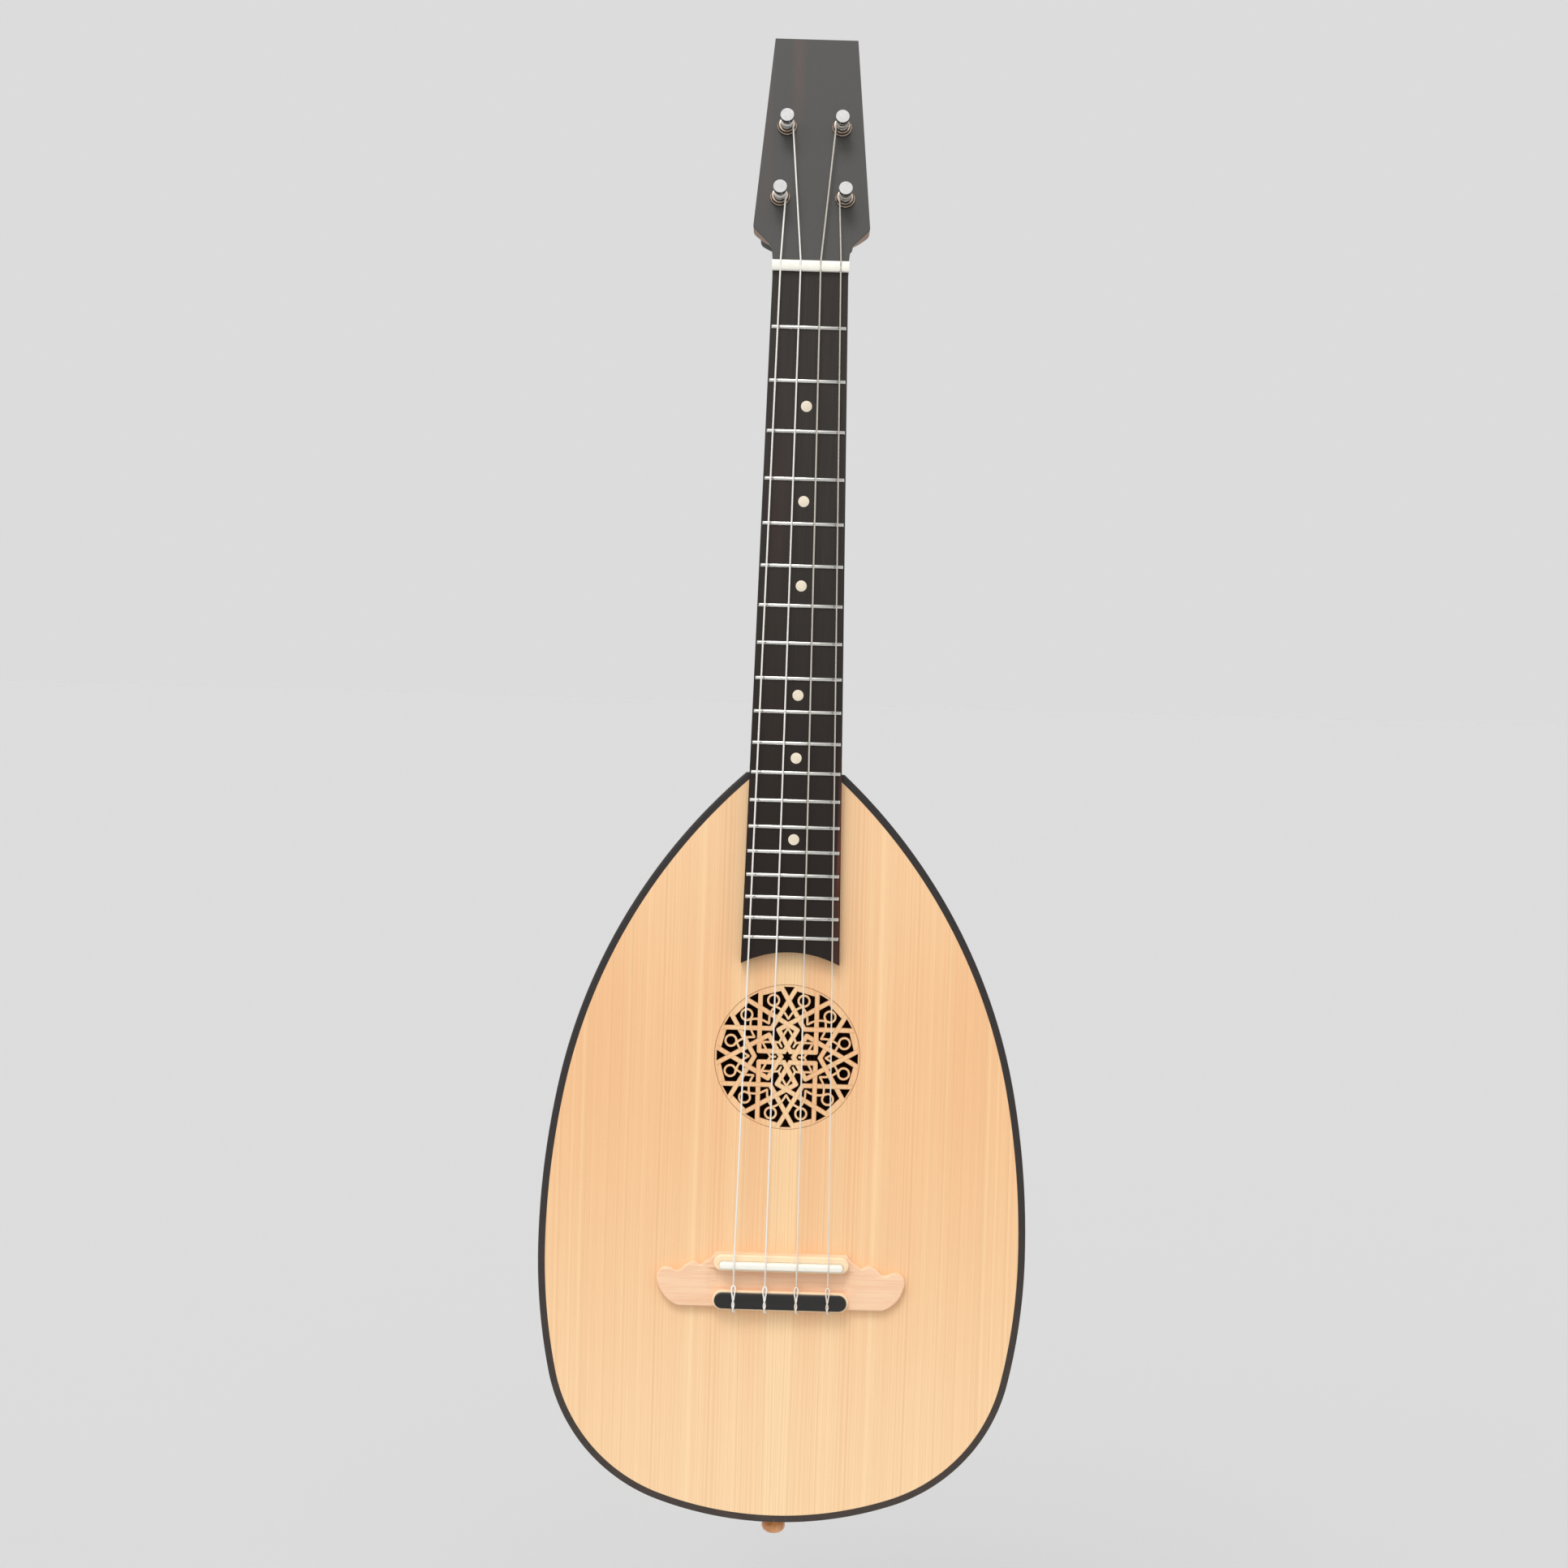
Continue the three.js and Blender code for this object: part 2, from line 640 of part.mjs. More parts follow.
// ---- strings ----
// From the peg's winding over the nut and the saddle, through the bridge and back round its bar.
function stringPiece({ nutX, saddleX, peg }) {
  const side = -Math.sign(peg.x);
  const front = tie.z + tie.depth / 2 + 1.7;
  const rear = tie.z - tie.depth / 2 - 1.7;
  const over = tie.top - gap - stringRadius;
  const turns = [
    [tie.hole, front], [tie.hole, rear], [over, rear], [over, front], [over + 1, front + 0.6],
  ];
  return strand([
    onHead(peg.x + side * windingSide, peg.q, windingHeight),
    new THREE.Vector3(nutX, nutCrest.y, nutCrest.z),
    new THREE.Vector3(saddleX, saddleCrest.y, saddleCrest.z),
    ...turns.map(([y, z]) => new THREE.Vector3(saddleX, y, z)),
  ], stringRadius);
}

// ---- end pin ----
function endPin() {
  const surface = -646.8;
  const profile = [
    [0, 16], [pin.shank, 16], [pin.shank, 0], [5, 0], [5, -1.5], [3.9, -4], [4.4, -7], [5.8, -9],
    [6, -10.8], [5, -12.8], [2.8, -13.8], [0, -14],
  ];
  const points = profile.map(([radius, z]) => new THREE.Vector2(radius, z));
  return new THREE.LatheGeometry(points.reverse(), 16)
    .rotateX(Math.PI / 2).translate(0, pin.y, surface);
}

// ---- assembly ----
const root = new THREE.Group();
const instrument = new THREE.Group();
instrument.position.set(0, -hanger.y, -hanger.z);
root.add(instrument);

function add(name, geometry, material, parent = instrument) {
  const mesh = new THREE.Mesh(geometry, material);
  mesh.name = name;
  parent.add(mesh);
  return mesh;
}

for (let i = 0; i < ribCount; i += 1) {
  add(`rib_${String(i + 1).padStart(2, '0')}`, rib(i), walnut);
}
add('tail_cap', tailCap(), walnut);
add('edging_left', edgingHalf(-1), blackPlastic);
add('edging_right', edgingHalf(1), blackPlastic);
add('lining_left', liningHalf(-1), spruce);
add('lining_right', liningHalf(1), spruce);
add('neck_block', neckBlock(), spruce);
add('tail_block', tailBlock(), spruce);
Object.entries(braces).forEach(([word, z]) => add(`brace_${word}`, brace(z), spruce));
add('soundboard', soundboard(), spruce);
add('rose', roseDisc(), spruce);
add('bridge', bridge(), bridgeWood);
add('saddle', saddlePiece(), bone);
add('tie_bar', tieBar(), blackPlastic);
add('end_pin', endPin(), pinWood);
add('neck', neckAndHead(), neckWood);
add('fretboard', fretboard(), ebony);
add('nut', nutPiece(), bone);

const headstock = new THREE.Group();
headstock.position.set(0, head.y, head.z);
headstock.rotation.x = -head.tilt;
instrument.add(headstock);
add('headstock_veneer', headVeneer(), veneerWood, headstock);

strings.forEach((string, i) => {
  const number = strings.length - i;
  const peg = new THREE.Group();
  peg.position.set(string.peg.x, 0, string.peg.q);
  headstock.add(peg);
  add(`peg_ferrule_${number}`, pegFerrule(), chrome, peg);
  add(`peg_cup_${number}`, pegCup(), blackPlastic, peg);
  const turning = new THREE.Group();
  turning.rotation.y = THREE.MathUtils.degToRad(string.peg.turn);
  peg.add(turning);
  add(`peg_post_${number}`, pegPost(), chrome, turning);
  add(`peg_button_${number}`, pegButton(), blackPlastic, turning);
  add(`peg_screw_${number}`, pegScrew(), chrome, turning);
  add(`winding_${number}`, stringWinding(), nylon, turning);
  add(string.name, stringPiece(string), nylon);
});

export default root;
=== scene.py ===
import math
import random
from math import cos, pi, radians, sin

import bmesh
import bpy
import numpy as np
from mathutils import Matrix, Vector


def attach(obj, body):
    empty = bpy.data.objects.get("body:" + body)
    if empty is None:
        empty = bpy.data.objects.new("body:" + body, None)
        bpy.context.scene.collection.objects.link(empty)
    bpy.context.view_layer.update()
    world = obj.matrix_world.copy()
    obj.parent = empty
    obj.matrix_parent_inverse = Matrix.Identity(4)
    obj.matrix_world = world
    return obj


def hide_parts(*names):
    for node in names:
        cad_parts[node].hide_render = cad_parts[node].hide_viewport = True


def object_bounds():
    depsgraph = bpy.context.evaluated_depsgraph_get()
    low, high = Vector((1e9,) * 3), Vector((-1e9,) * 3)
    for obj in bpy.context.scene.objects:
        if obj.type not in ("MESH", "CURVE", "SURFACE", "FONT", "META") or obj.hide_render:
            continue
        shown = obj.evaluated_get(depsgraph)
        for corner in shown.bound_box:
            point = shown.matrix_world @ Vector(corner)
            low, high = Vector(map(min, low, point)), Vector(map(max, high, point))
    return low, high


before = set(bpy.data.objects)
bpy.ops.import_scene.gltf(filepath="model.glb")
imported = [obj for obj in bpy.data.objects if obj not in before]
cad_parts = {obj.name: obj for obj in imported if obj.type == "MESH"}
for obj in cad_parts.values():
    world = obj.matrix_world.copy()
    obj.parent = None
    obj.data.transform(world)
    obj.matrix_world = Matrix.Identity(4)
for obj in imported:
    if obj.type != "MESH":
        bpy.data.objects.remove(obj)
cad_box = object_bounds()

MM = 0.001
ORIGIN = np.array((0.0, 10.0, 14.0))
SOUNDBOARD = -6.0          # height of the soundboard's face over the fretboard plane
TOP_THICKNESS = 2.5
SCALE = 510.0              # the frets' scale length
TILT = radians(13)
HEAD_Y, HEAD_Z = 2.5, 5.8  # where the headstock's face starts, behind the nut
HEAD_LENGTH = 120.6
HEAD_BACK = -11.5          # height of the headstock's back over its face
VENEER = 1.5
SOFT_BOX = 1.45            # brightness of the soft box in front
KEY = 1.1                  # strength of the wide sun above it
FLOOR_TONE = 0.668
FRONT_LIGHT = 1.12         # what a white card facing the camera sends back
ROSE_Z = -402.4
ROSE_RADIUS = 37.6
random.seed(7)


# ---------------- frames
def columns(points):
    return np.asarray(points, float).reshape(-1, 3).T


def front(points):
    """(x, z, height towards the viewer) -> (x, y, z) of the instrument."""
    x, z, height = columns(points)
    return np.stack([x, -height, z], 1)


def on_head(points):
    """(x, distance up the tilted headstock, height over its face) -> the instrument's frame."""
    x, up, height = columns(points)
    s, c = sin(TILT), cos(TILT)
    return np.stack([x, HEAD_Y + up * s - height * c, HEAD_Z + up * c + height * s], 1)


def turned_about(points, degrees, x, q):
    """Turns peg pieces about their own axis and sets them at their place on the headstock."""
    px, py, height = columns(points)
    s, c = sin(radians(degrees)), cos(radians(degrees))
    return np.stack([x + px * c - py * s, q + px * s + py * c, height], 1)


# ---------------- meshes
def moved(shape, place):
    """A point and face set with its points sent through a function."""
    points, faces = shape
    return place(points), faces


def mesh_of(shape, sharp=35):
    """A mesh in row metres from instrument millimetres, with outward normals."""
    points, faces = shape
    mesh = bpy.data.meshes.new("mesh")
    mesh.from_pydata(((np.asarray(points, float) - ORIGIN) * MM).tolist(), [], faces)
    work = bmesh.new()
    work.from_mesh(mesh)
    bmesh.ops.remove_doubles(work, verts=work.verts, dist=1e-7)
    bmesh.ops.recalc_face_normals(work, faces=work.faces)
    work.to_mesh(mesh)
    work.free()
    smooth(mesh, sharp)
    return mesh


FLAT_SHARE = 0.12          # a flat face with more of the area than this keeps a sharp rim


def smooth(mesh, sharp):
    """Smooth shading with sharp edges; a large flat face stays flat right up to its rim."""
    mesh.polygons.foreach_set("use_smooth", [True] * len(mesh.polygons))
    mesh.set_sharp_from_angle(angle=radians(sharp))
    areas, owners = {}, {}
    for face in mesh.polygons:
        way = tuple(round(v, 2) for v in face.normal)
        areas[way] = areas.get(way, 0) + face.area
        for edge in face.edge_keys:
            owners.setdefault(edge, set()).add(way)
    flat = {way for way, area in areas.items() if area > FLAT_SHARE * sum(areas.values())}
    for edge in mesh.edges if flat else ():
        ways = owners.get(edge.key, ())
        if len(ways) > 1 and flat.intersection(ways):
            edge.use_edge_sharp = True


def linked(name, data):
    """A new object in the scene."""
    holder = bpy.data.objects.new(name, data)
    bpy.context.scene.collection.objects.link(holder)
    return holder


def evaluated(holder):
    """A new mesh of an object as its modifiers or curve settings make it."""
    return bpy.data.meshes.new_from_object(
        holder.evaluated_get(bpy.context.evaluated_depsgraph_get()))


def show(name, shape, material, replaces=(), sharp=35, body="instrument"):
    """Puts a shape, or a mesh that is ready, in the scene as a piece that rides on a body."""
    mesh = mesh_of(shape, sharp) if isinstance(shape, tuple) else shape
    mesh.materials.clear()
    mesh.materials.append(MATERIALS[material] if isinstance(material, str) else material)
    piece = linked(name, mesh)
    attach(piece, body)
    if replaces:
        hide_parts(*replaces)


def loft(sections):
    """Skins closed sections of equal size and caps both ends."""
    rows, columns = len(sections), len(sections[0])
    faces = [(i * columns + j, i * columns + (j + 1) % columns,
              (i + 1) * columns + (j + 1) % columns, (i + 1) * columns + j)
             for i in range(rows - 1) for j in range(columns)]
    faces.append(tuple(range(columns)))
    faces.append(tuple((rows - 1) * columns + j for j in range(columns)))
    return np.concatenate([np.asarray(s, float) for s in sections]), faces


def lathe(profile, sides=48, ring=False):
    """A round solid about the third axis from [radius, height] pairs that start and end at 0, or
    a ring from a profile that closes on itself."""
    points, rings = [], []
    for radius, height in profile:
        if radius < 1e-6:
            rings.append([len(points)])
            points.append((0, 0, height))
            continue
        rings.append([len(points) + j for j in range(sides)])
        for j in range(sides):
            a = 2 * pi * j / sides
            points.append((radius * cos(a), radius * sin(a), height))
    if ring:
        rings.append(rings[0])
    return np.array(points), ring_faces(rings, sides)


def ring_faces(rings, sides):
    """Faces between rings of points; a ring of one point gives triangles."""
    faces = []
    for a, b in zip(rings, rings[1:]):
        for j in range(sides):
            k = (j + 1) % sides
            corners = [a[j % len(a)], b[j % len(b)], b[k % len(b)], a[k % len(a)]]
            faces.append(tuple(dict.fromkeys(corners)))
    return faces


def tube(path, radius, sides):
    """A round strand along the path, with rounded ends, carried without twist."""
    path = [Vector(p) for p in path]
    tangents = [(path[min(i + 1, len(path) - 1)] - path[max(i - 1, 0)]).normalized()
                for i in range(len(path))]
    across = tangents[0].orthogonal().normalized()
    sections = []
    for i, (point, along) in enumerate(zip(path, tangents)):
        across = (across - along * across.dot(along)).normalized()
        up = along.cross(across)
        size = radius * (0.7 if i in (0, len(path) - 1) else 1)
        sections.append([tuple(point + (across * cos(a) + up * sin(a)) * size)
                         for a in (2 * pi * j / sides for j in range(sides))])
    return loft(sections)


def rounded(points, steps):
    """A smooth curve through the points: Catmull-Rom with the same number of steps a span."""
    p = [np.asarray(q, float) for q in points]
    p = [2 * p[0] - p[1]] + p + [2 * p[-1] - p[-2]]
    curve = []
    for a, b, c, d in zip(p, p[1:], p[2:], p[3:]):
        for i in range(steps):
            t = i / steps
            curve.append(0.5 * (2 * b + (c - a) * t + (2 * a - 5 * b + 4 * c - d) * t ** 2
                                + (3 * b - a - 3 * c + d) * t ** 3))
    curve.append(p[-2])
    return curve


def merge(*parts):
    """Several point and face sets as one."""
    points, faces, start = [], [], 0
    for part_points, part_faces in parts:
        points.append(np.asarray(part_points, float))
        faces += [tuple(start + i for i in face) for face in part_faces]
        start += len(part_points)
    return np.concatenate(points), faces


def plate(outlines, low, high, bevel, steps):
    """A flat plate of closed outlines, holes among them, with rounded edges."""
    curve = bpy.data.curves.new("plate", "CURVE")
    curve.dimensions = "2D"
    curve.fill_mode = "BOTH"
    curve.extrude = ((high - low) / 2 - bevel) * MM
    curve.bevel_depth = bevel * MM
    curve.bevel_resolution = steps
    curve.offset = -bevel * MM
    for outline in outlines:
        spline = curve.splines.new("POLY")
        spline.points.add(len(outline) - 1)
        flat = [value for x, y in outline for value in (x * MM, y * MM, 0, 1)]
        spline.points.foreach_set("co", flat)
        spline.use_cyclic_u = True
    holder = linked("plate", curve)
    mesh = evaluated(holder)
    points = np.array([v.co[:] for v in mesh.vertices]) / MM
    points[:, 2] += (low + high) / 2
    faces = [tuple(face.vertices) for face in mesh.polygons]
    bpy.data.objects.remove(holder)
    bpy.data.curves.remove(curve)
    bpy.data.meshes.remove(mesh)
    return points, faces


def combine(base, tools, operation, sharp=35):
    """Joins or cuts closed meshes with the exact solver."""
    holder = linked("base", base)
    helpers = [linked("tool", tool) for tool in tools]
    for helper in helpers:
        modifier = holder.modifiers.new("combine", "BOOLEAN")
        modifier.operation = operation
        modifier.solver = "EXACT"
        modifier.object = helper
    bpy.context.view_layer.update()
    made = evaluated(holder)
    for helper in helpers + [holder]:
        bpy.data.objects.remove(helper)
    smooth(made, sharp)
    return made


# ---------------- materials
class Nodes:
    """The nodes of one tree, added with short calls."""

    def __init__(self, tree):
        self.tree = tree

    def node(self, kind, inputs=(), **settings):
        """A node whose inputs are either links from other nodes or plain values."""
        made = self.tree.nodes.new(kind)
        for key, value in settings.items():
            setattr(made, key, value)
        for socket, value in dict(inputs).items():
            if isinstance(value, bpy.types.NodeSocket):
                self.tree.links.new(value, made.inputs[socket])
            else:
                made.inputs[socket].default_value = value
        return made

    def math(self, operation, a, b=0.0):
        return self.node("ShaderNodeMath", {0: a, 1: b}, operation=operation).outputs[0]

    def plus(self, a, b):
        return self.math("ADD", a, b)

    def minus(self, a, b):
        return self.math("SUBTRACT", a, b)

    def times(self, a, b):
        return self.math("MULTIPLY", a, b)

    def remap(self, value, low, high, to_low=0.0, to_high=1.0):
        return self.node("ShaderNodeMapRange", {
            "Value": value, "From Min": low, "From Max": high, "To Min": to_low,
            "To Max": to_high}, interpolation_type="SMOOTHSTEP").outputs[0]


class Shader(Nodes):
    """A Principled material."""

    def __init__(self, name, **values):
        self.material = bpy.data.materials.new(name)
        self.material.use_nodes = True
        super().__init__(self.material.node_tree)
        self.surface = self.tree.nodes["Principled BSDF"]
        for socket, value in values.items():
            self.surface.inputs[socket.replace("_", " ")].default_value = value
        self.place = self.node("ShaderNodeTexCoord").outputs["Object"]

    def streak(self, value, place, core, rim, top=1.0):
        """The top strength within the core distance of a place, and 0 beyond the rim."""
        away = self.math("ABSOLUTE", self.minus(value, place))
        return self.remap(away, core, rim, top, 0)

    def axes(self, vector=None):
        return self.node("ShaderNodeSeparateXYZ", {0: vector or self.place}).outputs

    def stretched(self, scale, place=None, move=(0, 0, 0)):
        return self.node("ShaderNodeMapping", {
            "Vector": place or self.place, "Scale": scale, "Location": move}).outputs[0]

    def noise(self, scale, detail=3.0, roughness=0.55, distortion=0.0, place=None):
        """Noise with this many features a metre along x, y and z."""
        return self.node("ShaderNodeTexNoise", {
            "Vector": self.stretched(scale, place), "Scale": 1.0, "Detail": detail,
            "Roughness": roughness, "Distortion": distortion}).outputs[0]

    def noise_line(self, value, scale, detail, roughness=0.55):
        return self.node("ShaderNodeTexNoise", {
            "W": self.times(value, scale), "Scale": 1.0, "Detail": detail, "Roughness": roughness},
            noise_dimensions="1D").outputs[0]

    def mix(self, share, a, b):
        made = self.node("ShaderNodeMix", data_type="RGBA")
        for index, value in ((0, share), (6, a), (7, b)):
            if isinstance(value, bpy.types.NodeSocket):
                self.tree.links.new(value, made.inputs[index])
            else:
                made.inputs[index].default_value = value if index == 0 else (*value, 1.0)
        return made.outputs[2]

    def over(self, color, value, low, high, share, paint):
        """Paint over a colour: none where the value is low, this share of it where it is high."""
        return self.mix(self.remap(value, low, high, 0, share), color, paint)

    def feed(self, color=None, roughness=None, height=None, strength=0.3, distance=0.0001):
        for socket, value in (("Base Color", color), ("Roughness", roughness)):
            if value is not None:
                self.tree.links.new(value, self.surface.inputs[socket])
        if height is not None:
            bump = self.node("ShaderNodeBump", {
                "Height": height, "Strength": strength, "Distance": distance})
            self.tree.links.new(bump.outputs[0], self.surface.inputs["Normal"])
        return self.material


def srgb(red, green, blue):
    """Screen colour, 0 to 255, as linear light."""
    def linear(v):
        v /= 255
        return v / 12.92 if v <= 0.04045 else ((v + 0.055) / 1.055) ** 2.4
    return linear(red), linear(green), linear(blue)


def scaled(color, share):
    return tuple(v * share for v in color)


def lit(red, green, blue):
    """The paint that shows this screen colour when it faces the camera in the studio light."""
    return scaled(srgb(red, green, blue), 1 / FRONT_LIGHT)


# Broad tones of the bookmatched top by distance from its joint, in metres: 0 is tan, 1 is pale.
TOP_TONES = [(0, 1.0), (0.0055, 0.92), (0.0095, 0.42), (0.0145, 0.06), (0.02, 0.38), (0.026, 0.5),
             (0.034, 0.16), (0.042, 0.34), (0.048, 0.52), (0.056, 0.2), (0.074, 0.3), (0.081, 0.36),
             (0.092, 0.0), (0.106, 0.3), (0.118, 0.14), (0.126, 0.3)]


def spruce(name, shade=1.0, cut=False):
    """Bookmatched spruce: fine growth lines up the body, broad bands, a pale strip at the joint.
    Cut edges are burnt brown. A shade below 1 darkens all of it as painted shade."""
    def tint(*color):
        return scaled(lit(*color), shade)

    s = Shader(name, Coat_Weight=0.08, Coat_Roughness=0.4, IOR=1.42)
    x, _, z = s.axes()
    sway = s.times(s.minus(s.noise((6, 6, 2.2), 2), 0.5), 0.006)
    across = s.plus(s.math("ABSOLUTE", x), sway)
    tones = s.node("ShaderNodeValToRGB", {0: s.times(across, 8)})
    ramp = tones.color_ramp
    ramp.interpolation = "EASE"
    for place, tone in TOP_TONES[1:-1]:
        ramp.elements.new(place * 8).color = (tone, tone, tone, 1)
    for place, (_, tone) in ((0, TOP_TONES[0]), (-1, TOP_TONES[-1])):
        ramp.elements[place].color = (tone, tone, tone, 1)
    bands = s.noise_line(across, 330, 4, 0.62)
    patches = s.noise((30, 30, 5))
    tone = s.plus(tones.outputs[0], s.remap(bands, 0.25, 0.75, -0.22, 0.22))
    tone = s.plus(tone, s.remap(patches, 0.3, 0.7, -0.12, 0.12))
    color = s.mix(s.remap(tone, 0, 1), tint(247, 195, 144), tint(254, 215, 165))
    color = s.over(color, z, -0.4, -0.68, 0.6, tint(255, 226, 182))
    color = s.over(color, z, -0.4, -0.29, 0.45, tint(255, 218, 172))
    drift = s.noise_line(across, 150, 1)
    phase = s.math("FRACT", s.plus(s.times(across, 640), s.times(drift, 5)))
    strength = s.remap(s.noise_line(across, 210, 2), 0.3, 0.7, 0.35, 1)
    line = s.times(s.remap(phase, 0.45, 0.95), strength)
    fibre = s.noise((2600, 2600, 55), roughness=0.7)
    silk = s.noise((260, 260, 1500), 2)
    color = s.mix(s.times(line, 0.3), color, tint(218, 160, 110))
    color = s.over(color, fibre, 0.35, 0.75, 0.12, tint(222, 168, 118))
    color = s.over(color, silk, 0.58, 0.75, 0.12, tint(255, 232, 194))
    if cut:
        normal = s.node("ShaderNodeNewGeometry").outputs["True Normal"]
        facing = s.math("ABSOLUTE", s.axes(normal)[1])
        color = s.mix(s.remap(facing, 0.25, 0.6, 0.85, 0), color, srgb(96, 48, 26))
    height = s.plus(s.times(line, -0.5), s.times(fibre, 0.5))
    return s.feed(color, s.remap(fibre, 0.2, 0.8, 0.42, 0.56), height, 0.2, 0.0001)


def ebony(name, dark, light, gloss, shade=0.0, shine=0.5):
    """Near-black wood: faint long grain, closed pores and soft reddish streaks along it. The
    shade is painted shade: it darkens the wood towards the body's end."""
    s = Shader(name, IOR=1.45, Specular_IOR_Level=shine)
    x, _, z = s.axes()
    along = s.plus(x, s.times(s.minus(s.noise((20, 20, 9)), 0.5), 0.006))
    figure = s.noise((900, 900, 16), 4, 0.6)
    fine = s.noise((3200, 3200, 70), roughness=0.7)
    color = s.mix(s.remap(figure, 0.25, 0.75), dark, light)
    above = s.times(s.streak(along, -0.0085, 0.0004, 0.005, 0.75), s.remap(z, 0.02, 0.085))
    side = s.times(s.streak(along, -0.0245, 0.001, 0.004), s.remap(z, 0.005, 0.03, 0, 0.6))
    low = s.times(s.streak(along, -0.0125, 0.001, 0.009), s.remap(z, -0.02, -0.12, 0, 0.45))
    vein = s.math("MAXIMUM", s.math("MAXIMUM", above, side), low)
    broken = s.remap(s.noise((60, 60, 22), 4), 0.3, 0.6, 0.35, 1)
    red = tuple(a * b for a, b in zip(light, (1.5, 1.02, 0.92)))
    color = s.mix(s.times(s.times(vein, broken), 0.8), color, red)
    # Painted shade: a darker tone mixed in towards the body's end, by the shade's share.
    deep = tuple(a * b for a, b in zip(dark, (0.5, 0.36, 0.28)))
    color = s.mix(s.remap(z, -0.36, -0.06, shade, 0), color, deep)
    edge = s.times(s.streak(along, 0.0232, 0.0004, 0.0022, 0.85), s.remap(z, -0.23, -0.31))
    color = s.mix(s.times(edge, broken), color, srgb(96, 52, 42))
    pore = s.remap(fine, 0.62, 0.76)
    color = s.mix(s.times(pore, 0.35), color, scaled(dark, 0.4))
    return s.feed(color, s.remap(figure, 0.2, 0.8, gloss - 0.04, gloss + 0.06),
                  s.minus(s.times(figure, 0.3), pore), 0.12, 0.00008)


def streaked_wood(name, dark, light, grain=(420, 420, 14), pores=0.35, gloss=0.4, coat=0.0,
                  move=(0, 0, 0), bump=0.2):
    """Plain-sawn wood with long streaks and fine pores."""
    s = Shader(name, Coat_Weight=coat, Coat_Roughness=0.12, IOR=1.5)
    place = s.stretched((1, 1, 1), move=move)
    figure = s.noise(grain, 5, 0.62, 0.4, place)
    wide = s.noise(tuple(v / 6 for v in grain), place=place)
    fine = s.noise(tuple(v * f for v, f in zip(grain, (6, 6, 4))), 3, 0.7, place=place)
    color = s.mix(s.remap(figure, 0.3, 0.7), dark, light)
    color = s.over(color, wide, 0.35, 0.7, 0.55, light)
    pore = s.remap(fine, 0.62, 0.74)
    color = s.mix(s.times(pore, pores), color, scaled(dark, 0.35))
    roughness = s.remap(figure, 0.2, 0.8, gloss - 0.05, gloss + 0.08)
    height = s.minus(s.times(figure, 0.4), s.times(pore, 0.8))
    return s.feed(color, roughness, height, bump, 0.00012)


def plastic(name, color, gloss, mottle, deep=None, clouds=220, tail=None, **values):
    """Moulded plastic, fibre or bone: a faint mottle, a handled surface and, if a tail colour is
    given, a slow change to it towards the instrument's tail."""
    s = Shader(name, IOR=1.5, **values)
    cloud = s.noise((clouds,) * 3, 4)
    fine = s.noise((2400, 2400, 2400))
    base = s.mix(s.remap(s.axes()[2], -0.42, -0.66), color, tail) if tail else color
    tone = s.over(base, cloud, 0.3, 0.7, mottle, deep or scaled(color, 0.72))
    return s.feed(tone, s.remap(fine, 0.3, 0.7, gloss - 0.06, gloss + 0.1), fine, 0.06, 0.00005)


def metal(name, color, gloss, brushed=(600, 600, 600)):
    """Plated metal with fine wear in its polish."""
    s = Shader(name, Metallic=1.0)
    wear = s.noise(brushed, 4, 0.65)
    cloud = s.noise((180, 180, 180))
    tone = s.over(color, cloud, 0.35, 0.7, 0.35, scaled(color, 0.8))
    return s.feed(tone, s.remap(wear, 0.3, 0.75, gloss, gloss + 0.16), wear, 0.05, 0.00003)


def bridge_timber():
    """Pale pinkish hardwood with its grain along the bridge, with a painted highlight on the tops
    of its raised blocks.
    """
    s = Shader("bridge_timber", IOR=1.48)
    figure = s.noise((26, 300, 520), 5, 0.6, 0.6)
    fine = s.noise((110, 1500, 2400), roughness=0.7)
    color = s.mix(s.remap(figure, 0.32, 0.7), lit(252, 213, 176), lit(244, 196, 158))
    color = s.over(color, fine, 0.58, 0.75, 0.3, lit(212, 160, 126))
    # Painted highlight: the tops of the raised blocks, nearest the viewer, are painted a paler
    # cream.
    color = s.over(color, s.axes()[1], -0.009, -0.0097, 0.75, lit(255, 230, 190))
    return s.feed(color, s.remap(figure, 0.2, 0.8, 0.46, 0.6), fine, 0.18, 0.0001)


def clear_nylon():
    """Nylon, painted a little greyer where it lies over the dark fretboard and headstock: painted
    shade for the dark wood seen through it.
    """
    s = Shader("string_clear", IOR=1.53, Transmission_Weight=0.06, Roughness=0.22)
    # Painted shade: grey over the dark wood, for the wood seen through the nylon.
    seen_through_shade = s.remap(s.axes()[2], -0.375, -0.362, 0, 0.45)
    color = s.mix(seen_through_shade, lit(248, 238, 222), srgb(120, 118, 116))
    cloud = s.remap(s.noise((900, 900, 60), 2), 0.3, 0.7, 0, 0.15)
    return s.feed(s.mix(cloud, color, srgb(120, 110, 100)))


def wound_nylon():
    """Nylon closely wound with fine wire."""
    color = lit(254, 250, 243)
    s = Shader("string_wound", IOR=1.53, Transmission_Weight=0.0, Roughness=0.22)
    turn = s.math("ABSOLUTE", s.math("SINE", s.times(s.axes()[2], 14000)))
    tone = s.mix(turn, scaled(color, 0.78), color)
    return s.feed(tone, s.remap(turn, 0, 1, 0.45, 0.25), turn, 0.4, 0.00008)


